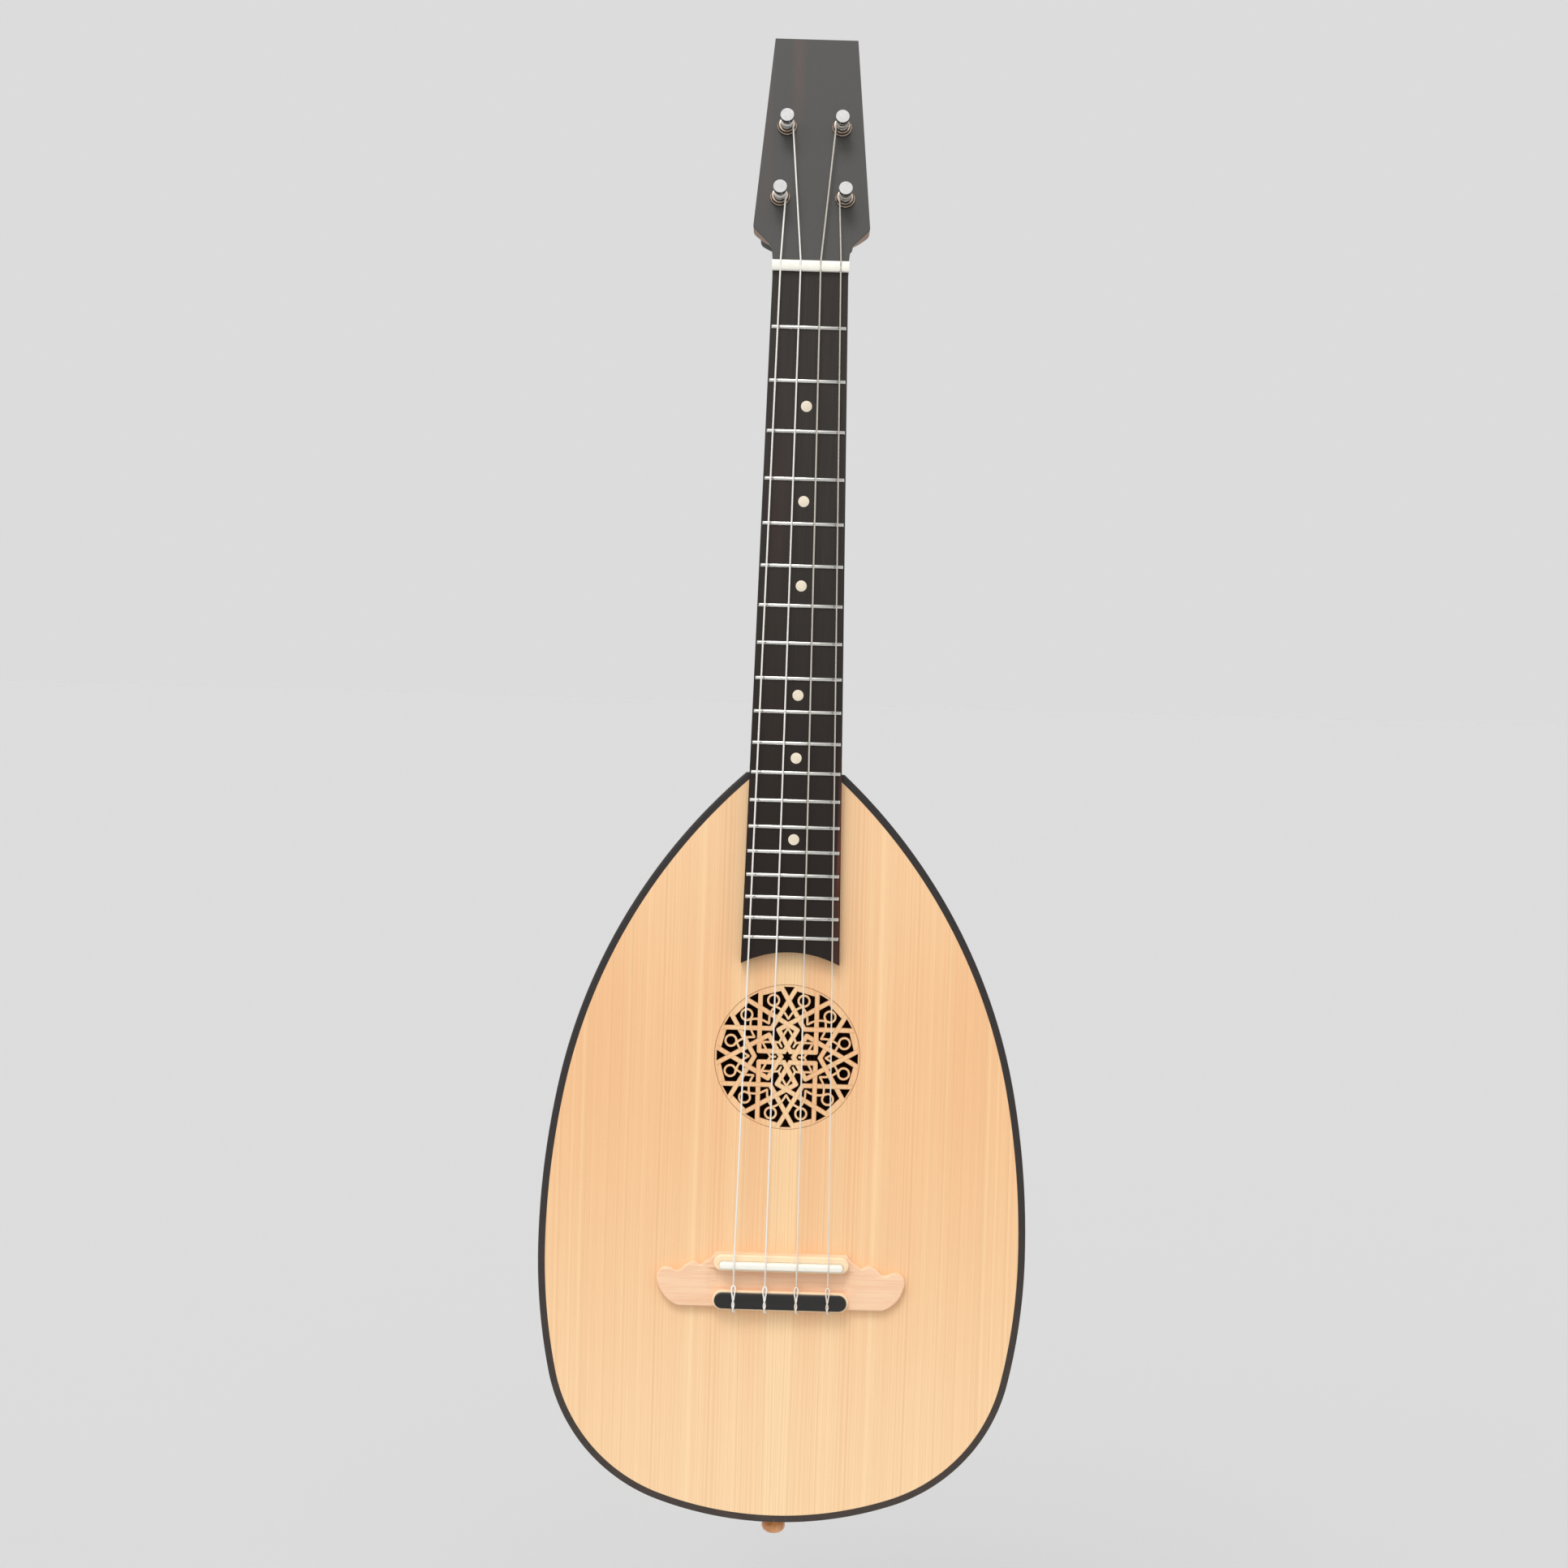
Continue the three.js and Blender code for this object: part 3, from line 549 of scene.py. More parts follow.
MATERIALS = {
    "spruce": spruce("spruce"),
    "rose": spruce("rose_spruce", cut=True),
    # Painted shade: the inside pieces get spruce darkened to 0.8 for the shade inside the bowl.
    "inner_spruce": spruce("inner_spruce", 0.8),
    "neck": streaked_wood("neck_timber", srgb(104, 76, 57), srgb(150, 114, 88), pores=0.5,
                          gloss=0.42),
    # Painted sheen: the headstock's ebony is painted paler than the fretboard's for its face that
    # tilts back to the light above.
    "veneer": ebony("headstock_ebony", srgb(56, 55, 52), srgb(64, 62, 59), 0.5),
    # Painted shade: the fretboard's ebony darkens towards the body's end.
    "fretboard": ebony("fretboard_ebony", srgb(45, 41, 38), srgb(54, 49, 46), 0.48, 0.94, 0.26),
    "bridge": bridge_timber(),
    "edging": plastic("edging_black", srgb(38, 33, 31), 0.34, 0.3, srgb(30, 27, 26), 160,
                      srgb(60, 50, 44)),
    "bone": plastic("bone_white", lit(249, 246, 235), 0.28, 0.12, Subsurface_Weight=0.12,
                    Subsurface_Radius=(0.0012, 0.001, 0.0007), Subsurface_Scale=1.0),
    "tie_bar": streaked_wood("tie_bar_ebony", srgb(18, 17, 16), srgb(28, 26, 24),
                             grain=(14, 420, 420), pores=0.3, gloss=0.36),
    "pin": streaked_wood("pin_rosewood", srgb(192, 122, 66), srgb(238, 168, 104), gloss=0.25,
                         coat=0.5, pores=0.4),
    "chrome": metal("chrome", (0.38, 0.376, 0.37), 0.1),
    # Painted reflection: the ferrule's warm brown colour stands in for the brown wood it reflects.
    "ferrule": metal("ferrule_nickel_painted_reflection", (0.42, 0.34, 0.275), 0.12),
    "fret": metal("nickel_silver", (0.72, 0.71, 0.67), 0.16, (80, 1200, 1200)),
    "peg_black": plastic("peg_black", srgb(17, 16, 16), 0.34, 0.3, Specular_IOR_Level=0.16),
    "dot": plastic("pearl_dot", srgb(232, 219, 197), 0.3, 0.3),
    "wound": wound_nylon(),
    "clear": clear_nylon(),
}


def rib_timber(i):
    """Every second rib is lighter, and each has its own piece of the figure."""
    tone = (0.84, 1.08)[i % 2] * random.uniform(0.94, 1.08)
    return streaked_wood(f"rib_timber_{i:02d}", scaled(srgb(86, 50, 32), tone),
                         scaled(srgb(142, 92, 60), tone), grain=(260, 260, 9), pores=0.5, gloss=0.3,
                         coat=0.6, move=(0.37 * i, 0.19 * i, 0.61 * i), bump=0.1)


# ---------------- body outline
# Half the outline is a chain of arcs that meet at common normals. An angle, the direction of the
# outward normal, walks it from the shoulder (positive) through the widest place (0) to the tail.
WIDEST = (126.5, -505.0)
SHOULDER_ANGLE, HIP_ANGLE, CORNER_ANGLE, TAIL_ANGLE = 0.198, -0.214, -1.235, -pi / 2
SHOULDER_RADIUS, FLANK_RADIUS, HIP_RADIUS, CORNER_RADIUS = 298, 441, 309, 90


def body_arcs():
    def centre(point, radius, angle):
        return point[0] - radius * cos(angle), point[1] - radius * sin(angle)

    def after(arc, radius):
        """The centre of the next arc, which meets this one where this one ends."""
        angle, this_radius, middle = arc
        return centre(centre(middle, -this_radius, angle), radius, angle)

    flank = (SHOULDER_ANGLE, FLANK_RADIUS, centre(WIDEST, FLANK_RADIUS, 0))
    hip = (HIP_ANGLE, HIP_RADIUS, centre(WIDEST, HIP_RADIUS, 0))
    corner = (CORNER_ANGLE, CORNER_RADIUS, after(hip, CORNER_RADIUS))
    tail_radius = centre(corner[2], -CORNER_RADIUS, CORNER_ANGLE)[0] / cos(CORNER_ANGLE)
    return [(SHOULDER_ANGLE, SHOULDER_RADIUS, after(flank, SHOULDER_RADIUS)), (0, *flank[1:]), hip,
            corner, (TAIL_ANGLE, tail_radius, after(corner, tail_radius))]


ARCS = body_arcs()


def outline_at(angle, inset):
    """Half width and z of the outline at a normal's angle, moved inwards by the inset."""
    _, radius, middle = next(arc for arc in ARCS if angle >= arc[0] - 1e-9)
    return (middle[0] + (radius - inset) * cos(angle),
            middle[1] + (radius - inset) * sin(angle))


def angle_at_level(z, inset=0.0):
    _, radius, middle = ARCS[0]
    return math.asin((z - middle[1]) / (radius - inset))


def angle_at_tail(x):
    return -math.acos(x / ARCS[-1][1])


def walk(high, low, inset, level=None, step=1.6):
    """(angle, half width, z) along the outline about every step degrees, from high to low."""
    count = max(2, round(math.degrees(high - low) / step))
    angles = [high + (low - high) * i / count for i in range(count + 1)]
    places = [(a, *outline_at(a, inset)) for a in angles]
    if level is not None:
        places[0] = (high, *outline_at(angle_at_level(level, inset), inset))
    return places


def body_outline(inset, top):
    right = [(x, z) for _, x, z in walk(angle_at_level(top, inset), TAIL_ANGLE, inset, step=1.0)]
    return right + [(-x, z) for x, z in reversed(right[:-1])]


# ---------------- bowl
BOWL_DEPTH = 0.9           # the bowl's depth over its half width
BOWL_TOP = 11.2            # y of the bowl's rim, behind the edging
BOARD_PLANE = -SOUNDBOARD
NECK_JOINT = -255.6        # z where the neck meets the bowl
RIBS = 11
RIB_THICKNESS = 2.0
CAP_HALF, CAP_TIP = 42.0, 6.8  # half widths where the tail cap starts and where it ends
PIN_Y = 28.0               # how far the end pin's axis lies behind the fretboard plane
PIN_SEAT = -646.3


def bowl_point(x, z, share):
    rim = math.asin(min(1.0, (BOWL_TOP - BOARD_PLANE) / (BOWL_DEPTH * x)))
    angle = rim + (pi - 2 * rim) * share
    return -x * cos(angle), BOARD_PLANE + BOWL_DEPTH * x * sin(angle), z


def stave(first, last, high, low, segments, level=None):
    """One bent stave of the bowl, its outer edges eased so that the joints show as fine lines."""
    joint, ease = 0.03, 0.3
    sections = []
    outer, eased, inner = (walk(high, low, inset, level) for inset in (0.0, 0.22, RIB_THICKNESS))
    for out, soft, into in zip(outer, eased, inner):
        def row(place, trim):
            _, x, z = place
            cut = trim / (pi * x)
            a = first if first == 0 else first + cut
            b = last if last == 1 else last - cut
            return [bowl_point(x, z, a + (b - a) * j / segments) for j in range(segments + 1)]
        crown, side, back = row(out, joint + ease), row(soft, joint), row(into, joint)
        sections.append([side[0]] + crown + [side[-1]] + back[::-1])
    return loft(sections)


def bowl():
    top, tail = angle_at_level(NECK_JOINT), angle_at_tail(CAP_HALF + 0.05)
    for i in range(RIBS):
        shape = stave(i / RIBS, (i + 1) / RIBS, top, tail, 6, NECK_JOINT)
        name = f"rib_{i + 1:02d}"
        show("bowl_" + name, shape, rib_timber(i), [name], 28)
    paths = [[bowl_point(x, z, i / RIBS) for _, x, z in walk(top, tail, 0.2, NECK_JOINT, 3)]
             for i in range(1, RIBS)]
    show("bowl_stringing", merge(*(tube(path, 0.3, 6) for path in paths)), "bridge",
         sharp=60)
    cap = mesh_of(stave(0, 1, angle_at_tail(CAP_HALF), angle_at_tail(CAP_TIP), 40), 28)
    rod = lathe([[0, -670], [3.8, -670], [3.8, -600], [0, -600]], 32)
    drill = mesh_of(moved(rod, lambda p: p + (0, PIN_Y, 0)))
    show("bowl_tail_clasp", combine(cap, [drill], "DIFFERENCE", 28), rib_timber(RIBS),
         ["tail_cap"])


def edging():
    """Black binding round the soundboard's edge, in two halves with a seam at the tail."""
    round_over = [(3.62, 0), (1.0, 0), (0.45, 0.12), (0.12, 0.45), (0, 1.0), (0, 5.15),
                  (3.62, 5.15)]
    for side, word in ((-1, "left"), (1, "right")):
        rows = [walk(angle_at_level(NECK_JOINT), angle_at_tail(0.06), inset, NECK_JOINT, 1.0)
                for inset, _ in round_over]
        sections = [[(side * row[i][1], BOARD_PLANE + depth, row[i][2])
                     for row, (_, depth) in zip(rows, round_over)] for i in range(len(rows[0]))]
        show("edging_strip_" + word, loft(sections), "edging", ["edging_" + word], 30)


def circle(x, z, radius, sides=96):
    return [(x + radius * cos(2 * pi * i / sides),
             z + radius * sin(2 * pi * i / sides)) for i in range(sides)]


def soundboard():
    outlines = [body_outline(3.64, NECK_JOINT - 0.2), circle(0, ROSE_Z, ROSE_RADIUS + 0.12)]
    board = plate(outlines, SOUNDBOARD - TOP_THICKNESS, SOUNDBOARD, 0.25, 2)
    show("spruce_top", moved(board, front), "spruce", ["soundboard"], 18)


# ---------------- rose
STRAP = 1.2                # half the width of a strap
TENDRIL = 0.56             # half the width of a tendril
SCORE = 0.3                # distance of a strap's scored line from its edge
GRID = 0.2


def polar(radius, degrees):
    a = radians(degrees)
    return np.array((radius * cos(a), radius * sin(a)))


def rose_straps():
    """Centre lines of the straps by family: twelve long lines a common distance from the centre,
    cut back so that six turn in beside the pointed slots and six bend into arrow heads."""
    reach, rim = 0.39 * ROSE_RADIUS, 0.985 * ROSE_RADIUS
    slot = 0.075 * ROSE_RADIUS
    tip = slot / cos(radians(30))
    end = math.sqrt(rim ** 2 - reach ** 2)
    corner = reach * math.tan(radians(30))
    families = {}
    for k in range(6):
        for mirror, sign in ((1, "+"), (-1, "-")):
            def turn(x, y, k=k, mirror=mirror):
                a = radians(60 * k)
                y *= mirror
                return np.array((x * cos(a) - y * sin(a), x * sin(a) + y * cos(a)))
            bend = turn(reach / cos(radians(30)), 0)
            heading = turn(sin(radians(30)), cos(radians(30)))
            families.setdefault("long" + sign, []).append([turn(reach, end), turn(reach, slot)])
            families.setdefault("leg" + sign, []).append([turn(reach, slot), turn(tip * 0.5, slot)])
            families.setdefault("bent" + sign, []).append([bend, bend + heading * (end - corner)])
    return families


def scroll(angle, mirror, stations):
    """A curve through (share of the radius, degrees to one side of the angle) places."""
    return rounded([polar(r * ROSE_RADIUS, angle + mirror * spread) for r, spread in stations], 5)


def rose_tendrils():
    """Thin scrolls, those that pass over the straps and those that pass under: a ring in each of
    twelve cells with two crossing tails, and arcs that spring from spikes in the slots."""
    over, under = [], []
    for k in range(12):
        angle = 15 + 30 * k
        centre = polar(0.808 * ROSE_RADIUS, angle)
        over.append([centre + polar(2.86, angle + 15 * j) for j in range(25)])
        for mirror, lines in ((1, over), (-1, under)):
            lines.append(scroll(angle, mirror, ((0.745, -2.4), (0.722, 0), (0.692, 3.4),
                                                (0.65, 7.2), (0.6, 10.8), (0.53, 14.8))))
    for k in range(6):
        over.append([polar(r * ROSE_RADIUS, 60 * k) for r in (0.165, 0.236)])
        for mirror, lines in ((-1, over), (1, under)):
            lines.append(scroll(60 * k, mirror, ((0.2, 0), (0.231, 1.5), (0.262, 9), (0.319, 20.5),
                                                 (0.396, 29.6))))
    return over, under


def distance_to(lines, xs, ys):
    """Distance from each grid place to the nearest of the polylines."""
    best = np.full(xs.shape, 1e9)
    for line in lines:
        for (ax, ay), (bx, by) in zip(line, line[1:]):
            dx, dy = bx - ax, by - ay
            t = np.clip(((xs - ax) * dx + (ys - ay) * dy) / (dx * dx + dy * dy + 1e-12), 0, 1)
            best = np.minimum(best, np.hypot(xs - ax - t * dx, ys - ay - t * dy))
    return best


def rose_fields():
    """Two fields over a square grid: negative on wood and positive in the openings, and negative
    inside the scored lines of straps and tendrils that lie on top where they cross."""
    half = ROSE_RADIUS + 3 * GRID
    line = np.arange(-half, half + GRID / 2, GRID)
    xs, ys = np.meshgrid(line, line, indexing="ij")
    radius, angle = np.hypot(xs, ys), np.degrees(np.arctan2(ys, xs))
    straps = {key: distance_to(lines, xs, ys) for key, lines in rose_straps().items()}
    over, under = (distance_to(lines, xs, ys) - TENDRIL for lines in rose_tendrils())
    fold = np.radians((angle + 15) % 30 - 15)
    cell = np.radians(angle % 30 - 15)
    cell_rim = 0.91 * ROSE_RADIUS - radius * np.cos(cell)
    on_axis = np.abs(np.sin(fold)) * radius < 0.105 * ROSE_RADIUS
    notch = (0.972 * ROSE_RADIUS) - radius * np.cos(fold)
    rim = np.where(on_axis & (radius > 0.8 * ROSE_RADIUS), notch, cell_rim)
    strap = np.minimum.reduce(list(straps.values())) - STRAP

    def star(grow):
        """Negative inside the six-pointed star at the middle, grown by a distance."""
        reach = [xs * cos(radians(t)) + ys * sin(radians(t)) for t in range(30, 390, 60)]
        away = np.minimum(np.maximum.reduce(reach[::2]), np.maximum.reduce(reach[1::2]))
        return away - 0.0425 * ROSE_RADIUS - grow

    wood = np.minimum.reduce([strap, over, under, rim, star(2 * STRAP)])
    wood = np.maximum(wood, -star(0))
    wood = np.maximum(wood, radius - ROSE_RADIUS)
    covers = {"long+": "bent-", "long-": "long+", "bent+": "long-", "bent-": "bent+",
              "leg+": "leg-"}
    relief = over + 0.14
    for key, distance in straps.items():
        core = np.maximum(distance - STRAP + SCORE, 0.1 - over)
        if key in covers:
            cover = STRAP + 0.06 - straps[covers[key]]
            if key == "bent-":
                cover = np.where(radius > 0.6 * ROSE_RADIUS, cover, -1)
            core = np.maximum(core, cover)
        relief = np.minimum(relief, core)
    edge = np.maximum.reduce([rim + 0.12, 0.08 - strap, 0.1 - over])
    mitre = np.maximum.reduce([-star(SCORE), star(1.6), radius - 0.1 * ROSE_RADIUS])
    relief = np.minimum.reduce([relief, edge, mitre])
    relief = np.maximum(relief, radius - ROSE_RADIUS + 0.3)
    return line, wood, relief


def contours(line, field):
    """Closed outlines of the places where the field is negative, by marching squares."""
    cuts, links = {}, {}

    def crossing(i, j, k, m):
        key = (i, j, k, m)
        if key not in cuts:
            a, b = field[i, j], field[k, m]
            t = a / (a - b)
            cuts[key] = (line[i] + (line[k] - line[i]) * t, line[j] + (line[m] - line[j]) * t)
        return key

    inside = field < 0
    count = inside[:-1, :-1].astype(int) + inside[1:, :-1] + inside[1:, 1:] + inside[:-1, 1:]
    for i, j in np.argwhere((count > 0) & (count < 4)):
        corners = [(i, j), (i + 1, j), (i + 1, j + 1), (i, j + 1)]
        leave, enter = [], []
        for a, b in zip(corners, corners[1:] + corners[:1]):
            if inside[a] != inside[b]:
                (leave if inside[a] else enter).append(crossing(*min(a, b), *max(a, b)))
        links.update(zip(leave, enter[::-1]))
    loops = []
    while links:
        start = next(iter(links))
        loop, key = [], start
        while key in links:
            loop.append(cuts[key])
            key = links.pop(key)
        if len(loop) > 12:
            loops.append(simplify(loop))
    return loops


def simplify(loop, slack=0.025):
    """Drops points that lie within the slack of a straight run."""
    kept, anchor = [loop[0]], 0
    for i in range(2, len(loop)):
        a, b = np.array(loop[anchor]), np.array(loop[i])
        run = np.array(loop[anchor + 1:i])
        d = (b - a) / (np.linalg.norm(b - a) + 1e-9)
        off = np.abs((run[:, 0] - a[0]) * d[1] - (run[:, 1] - a[1]) * d[0])
        if off.max() > slack or i - anchor > 40:
            anchor = i - 1
            kept.append(loop[anchor])
    return kept


def rose():
    line, wood, relief = rose_fields()
    for name, field, low, high, bevel in (("rose_tracery", wood, -2.2, -0.2, 0.1),
                                          ("rose_straps", relief, -0.19, -0.02, 0.05)):
        outlines = [[(x, z + ROSE_Z) for x, z in loop] for loop in contours(line, field)]
        shape = plate(outlines, SOUNDBOARD + low, SOUNDBOARD + high, bevel, 1)
        show(name, moved(shape, front), "rose", ["rose"], 30)


# ---------------- bridge
WING = [(34, -504.4), (36.5, -507.6), (40.4, -510.2), (41.6, -511.2), (43.4, -510.2),
        (46.2, -509.6), (49.6, -511.5), (52.2, -514), (54.4, -514.5), (57.6, -513.1),
        (61, -513.1), (63.4, -515), (64.4, -518.4), (63.2, -523), (60.6, -527.6), (57, -531),
        (53, -533)]
# The middles of the bridge's upper block, of the saddle's slot in it and of the tie bar.
BLOCK_Z, SLOT_Z, TIE_Z = -509.15, -510.0, -528.7
STRING_GAP_SADDLE = 16.2
STRING_GAP_NUT = 10.2


def bar(half, depth, z, steps=12):
    """A straight bar with half-round ends."""
    r = depth / 2
    turn = [pi * i / steps - pi / 2 for i in range(steps + 1)]
    right = [(half - r + r * cos(a), z + r * sin(a)) for a in turn]
    return right + [(-x, 2 * z - y) for x, y in right]


def bridge():
    """Wings with a sunk well between two blocks; the saddle stands in a slot of the upper one."""
    right = [tuple(p) for p in rounded(WING, 4)]
    outline = right + [(-x, z) for x, z in reversed(right)]
    foot = SOUNDBOARD - 1.2

    def solid(outline, low, high, bevel, steps=3):
        return moved(plate([outline], low, high, bevel, steps), front)

    ramp = [(-39, -2.2), (-32.5, -3.5), (32.5, -3.5), (39, -2.2), (39, 2), (-39, 2)]
    well = loft([[(x, z, height) for x, height in ramp] for z in (-524.1, -512.5)])
    carved = combine(mesh_of(solid(outline, foot, -2.3, 0.8)), [mesh_of(moved(well, front))],
                     "DIFFERENCE")
    blocks = [mesh_of(solid(bar(35, 8.7, BLOCK_Z), foot, 0.8, 0.9)),
              mesh_of(solid(bar(35.3, 10.2, TIE_Z), foot, 0, 0.5))]
    joined = combine(carved, blocks, "UNION")
    slot = mesh_of(solid(bar(32.15, 4.1, SLOT_Z), -3.4, 3, 0))
    show("bridge_body", combine(joined, [slot], "DIFFERENCE", 32), "bridge",
         ["bridge"])
    show("saddle_bone", solid(bar(32, 3.8, SLOT_Z), -3.3, 4.5, 1.1, 4), "bone",
         ["saddle"], 40)
    show("tie_bar_black", solid(bar(34.2, 8.2, TIE_Z), -0.1, 1.6, 0.45), "tie_bar",
         ["tie_bar"], 40)


# ---------------- neck and headstock
BOARD_END = -353.5
BOARD_HALF = (19.2, 25.35)  # the fretboard's half width at the nut and at its end
NECK_DEPTH = 13.6
NECK_BEND = (-12.0, 5.1)   # z where the neck starts to tilt back and where the headstock starts
HEAD_DEPTH = 15.58         # depth of the timber where the headstock starts
FRETS = 19
DOT_FRETS = (3, 5, 7, 10, 12, 15)


def board_half(z):
    return BOARD_HALF[0] + (BOARD_HALF[1] - BOARD_HALF[0]) * z / BOARD_END


def fret_z(i):
    return -SCALE * (1 - 2 ** (-i / 12))


def ease(value, low, high):
    t = min(1.0, max(0.0, (value - low) / (high - low)))
    return t * t * (3 - 2 * t)


# The headstock's outline: distance up its face and half width.
HEAD_SIDE = [(0, 19.4), (4.6, 19.85), (6.9, 20.45), (8.6, 21.35), (16.7, 29.3), (17.4, 29.7),
             (18.2, 29.75), (HEAD_LENGTH, 21.4)]


def head_half(q):
    for (q0, x0), (q1, x1) in zip(HEAD_SIDE, HEAD_SIDE[1:]):
        if q <= q1:
            return x0 + (x1 - x0) * (q - q0) / (q1 - q0)
    return HEAD_SIDE[-1][1]


def neck_section(y, z, tilt, half, depth, power):
    """Flat on top, a superellipse below: power 2 is round, a high power nearly square."""
    points, steps = [], 20
    for j in range(steps + 1):
        a = pi * j / steps
        c, s = cos(a), sin(a)
        x = -half * math.copysign(abs(c) ** (2 / power), c)
        down = depth * abs(s) ** (2 / power)
        points.append((x, y + down * cos(tilt), z - down * sin(tilt)))
    return points


def neck():
    """The shaft, a short stretch that tilts back below the nut, and the headstock."""
    sections = []
    low = NECK_JOINT + 0.15
    for i in range(26):
        z = low + (NECK_BEND[0] - 0.05 - low) * i / 25
        share = z / NECK_JOINT
        depth = NECK_DEPTH + 8.8 * share
        sections.append(neck_section(BOARD_PLANE, z, 0, board_half(z), depth, 2 + 0.15 * share))
    for i in range(1, 7):
        z = NECK_BEND[0] + (NECK_BEND[1] - NECK_BEND[0]) * i / 6
        rise = 1.9 * ease(z, -1.5, 6.5)
        sections.append(neck_section(BOARD_PLANE - rise, z, TILT * ease(z, -14, 7), 19.35,
                                     NECK_DEPTH + rise, 2 + 0.04 * ease(z, -12, 5)))
    levels = [0.3 + 0.7 * i for i in range(28)] + [20 + 4 * i for i in range(1, 25)]
    for q in levels + [118.5, 120.0, HEAD_LENGTH]:
        y, z = on_head([(0, q, -VENEER)])[0][1:]
        depth = HEAD_DEPTH + (-HEAD_BACK - VENEER - HEAD_DEPTH) * ease(q, 0, 26)
        trim = 0.5 if q == HEAD_LENGTH else 0
        sections.append(neck_section(y, z, TILT, head_half(q) - 0.05 - trim, depth - trim,
                                     2.05 + 11 * ease(q, 9, 24)))
    bore = lathe([[0, -30], [4.6, -30], [4.6, 10], [0, 10]], 32)
    drills = [mesh_of(moved(bore, lambda p: on_head(p + (x, q, 0)))) for x, q, _ in PEGS.values()]
    show("neck_timber", combine(mesh_of(loft(sections), 30), drills, "DIFFERENCE", 30), "neck",
         ["neck"])


def veneer():
    right = [(head_half(q), q) for q, _ in HEAD_SIDE]
    outline = right + [(-x, q) for x, q in reversed(right)]
    holes = [circle(x, q, 4.55, 40) for x, q, _ in PEGS.values()]
    shape = plate([outline] + holes, -VENEER, 0, 0.18, 2)
    show("headstock_face", moved(shape, on_head), "veneer", ["headstock_veneer"], 30)


def fretboard():
    """The board's body end is a hollow arc."""
    scoop, half = 6.2, BOARD_HALF[1]
    radius = (half ** 2 + scoop ** 2) / (2 * scoop)
    spread = math.asin(half / radius)
    arc = [(radius * sin(a), BOARD_END + scoop - radius + radius * cos(a))
           for a in (spread * (1 - 2 * i / 32) for i in range(33))]
    outline = [(-BOARD_HALF[0], -0.55), (BOARD_HALF[0], -0.55)] + arc
    show("fingerboard", moved(plate([outline], SOUNDBOARD, 0, 0.3, 2), front), "fretboard",
         ["fretboard"], 30)
    frets()
    dots()


def frets():
    """Crowned wires with eased ends."""
    turn = [pi * j / 10 for j in range(11)]
    parts = []
    for i in range(1, FRETS + 1):
        half = board_half(fret_z(i)) - 0.55
        stations = [(-half, 0.25), (-half + 0.35, 0.75), (-half + 0.8, 1.0),
                    (half - 0.8, 1.0), (half - 0.35, 0.75), (half, 0.25)]
        parts.append(loft([[(x, fret_z(i) + 1.05 * cos(a),
                             -0.3 + (1.25 * size) * sin(a) ** 0.8) for a in turn]
                           for x, size in stations]))
    show("fret_wires", moved(merge(*parts), front), "fret", sharp=40)


def dots():
    """Inlaid position dots, a hair proud of the board."""
    dot = lathe([[0, -1], [2.8, -1], [2.8, 0.0], [2.6, 0.06], [0, 0.08]], 40)
    places = [(fret_z(i) + fret_z(i - 1)) / 2 for i in DOT_FRETS]
    parts = [moved(dot, lambda p: p + (0, z, 0)) for z in places]
    show("position_dots", moved(merge(*parts), front), "dot", sharp=40)


def nut():
    profile = [(-0.48, 5.9), (-0.48, -1.4), (-0.1, -1.95), (0.7, -2.2), (2.2, -2.2), (3.6, -1.95),
               (4.8, -1.3), (5.2, -0.6), (5.25, 5.9)]
    half = 19.55
    base = loft([[(x, y, z) for z, y in profile] for x in (-half, -half + 0.3, half - 0.3, half)])
    groove = lathe([[0, -4], [0.55, -4], [0.55, 9], [0, 9]], 16)
    slots = [mesh_of(moved(groove, lambda p: p + (x, -1.75, 0))) for x, _ in STRING_PLACES.values()]
    show("nut_bone", combine(mesh_of(base, 30), slots, "DIFFERENCE", 30), "bone", ["nut"])


# ---------------- pegs and strings
# Each string's number to its peg's place on the headstock and the peg's angle at rest.
PEGS = {4: (-16.6, 33.4, -62), 3: (-14.1, 72.1, 82), 2: (14.1, 72.1, 97), 1: (16.6, 33.4, 86)}
STRING_PLACES = {n: ((2.5 - n) * STRING_GAP_NUT, (2.5 - n) * STRING_GAP_SADDLE)
                 for n in (4, 3, 2, 1)}
STRING_RADIUS = {4: 0.44, 3: 0.42, 2: 0.42, 1: 0.36}
COIL = 2.95                # radius of the string's turns on a peg
LAST_TURN = 5.45           # height of the string's own last turn over the headstock's face


def blob(centre, size):
    """A plump rounded solid: a superellipsoid that is a little squarer in its height."""
    steps, sides = 22, 44

    def bend(value, power):
        return math.copysign(abs(value) ** (2 / power), value)

    sections = []
    for i in range(steps + 1):
        rise = pi * (i / steps - 0.5)
        wide = max(bend(cos(rise), 5), 0.02)
        level = centre[2] + size[2] * bend(sin(rise), 5)
        sections.append([(centre[0] + size[0] * wide * bend(cos(a), 4.2),
                          centre[1] + size[1] * wide * bend(sin(a), 4.2), level)
                         for a in (2 * pi * j / sides for j in range(sides))])
    return loft(sections)


def button_shape():
    """A butterfly button: two plump lobes on a thinner web, a collar above and below."""
    lobes = [blob((side * 8.2, 0, -30.9), (5.58, 4.78, 11.2)) for side in (-1, 1)]
    return merge(*lobes, blob((0, 0, -30.0), (6.0, 3.1, 8.6)),
                 lathe([[0, -26], [3.2, -26], [4.1, -22], [4.1, -18.8], [3.8, -18.1], [0, -18.0]]),
                 lathe([[0, -40.9], [3.2, -40.9], [3.7, -40.5], [3.9, -39.6], [3.9, -36],
                        [0, -36]]))


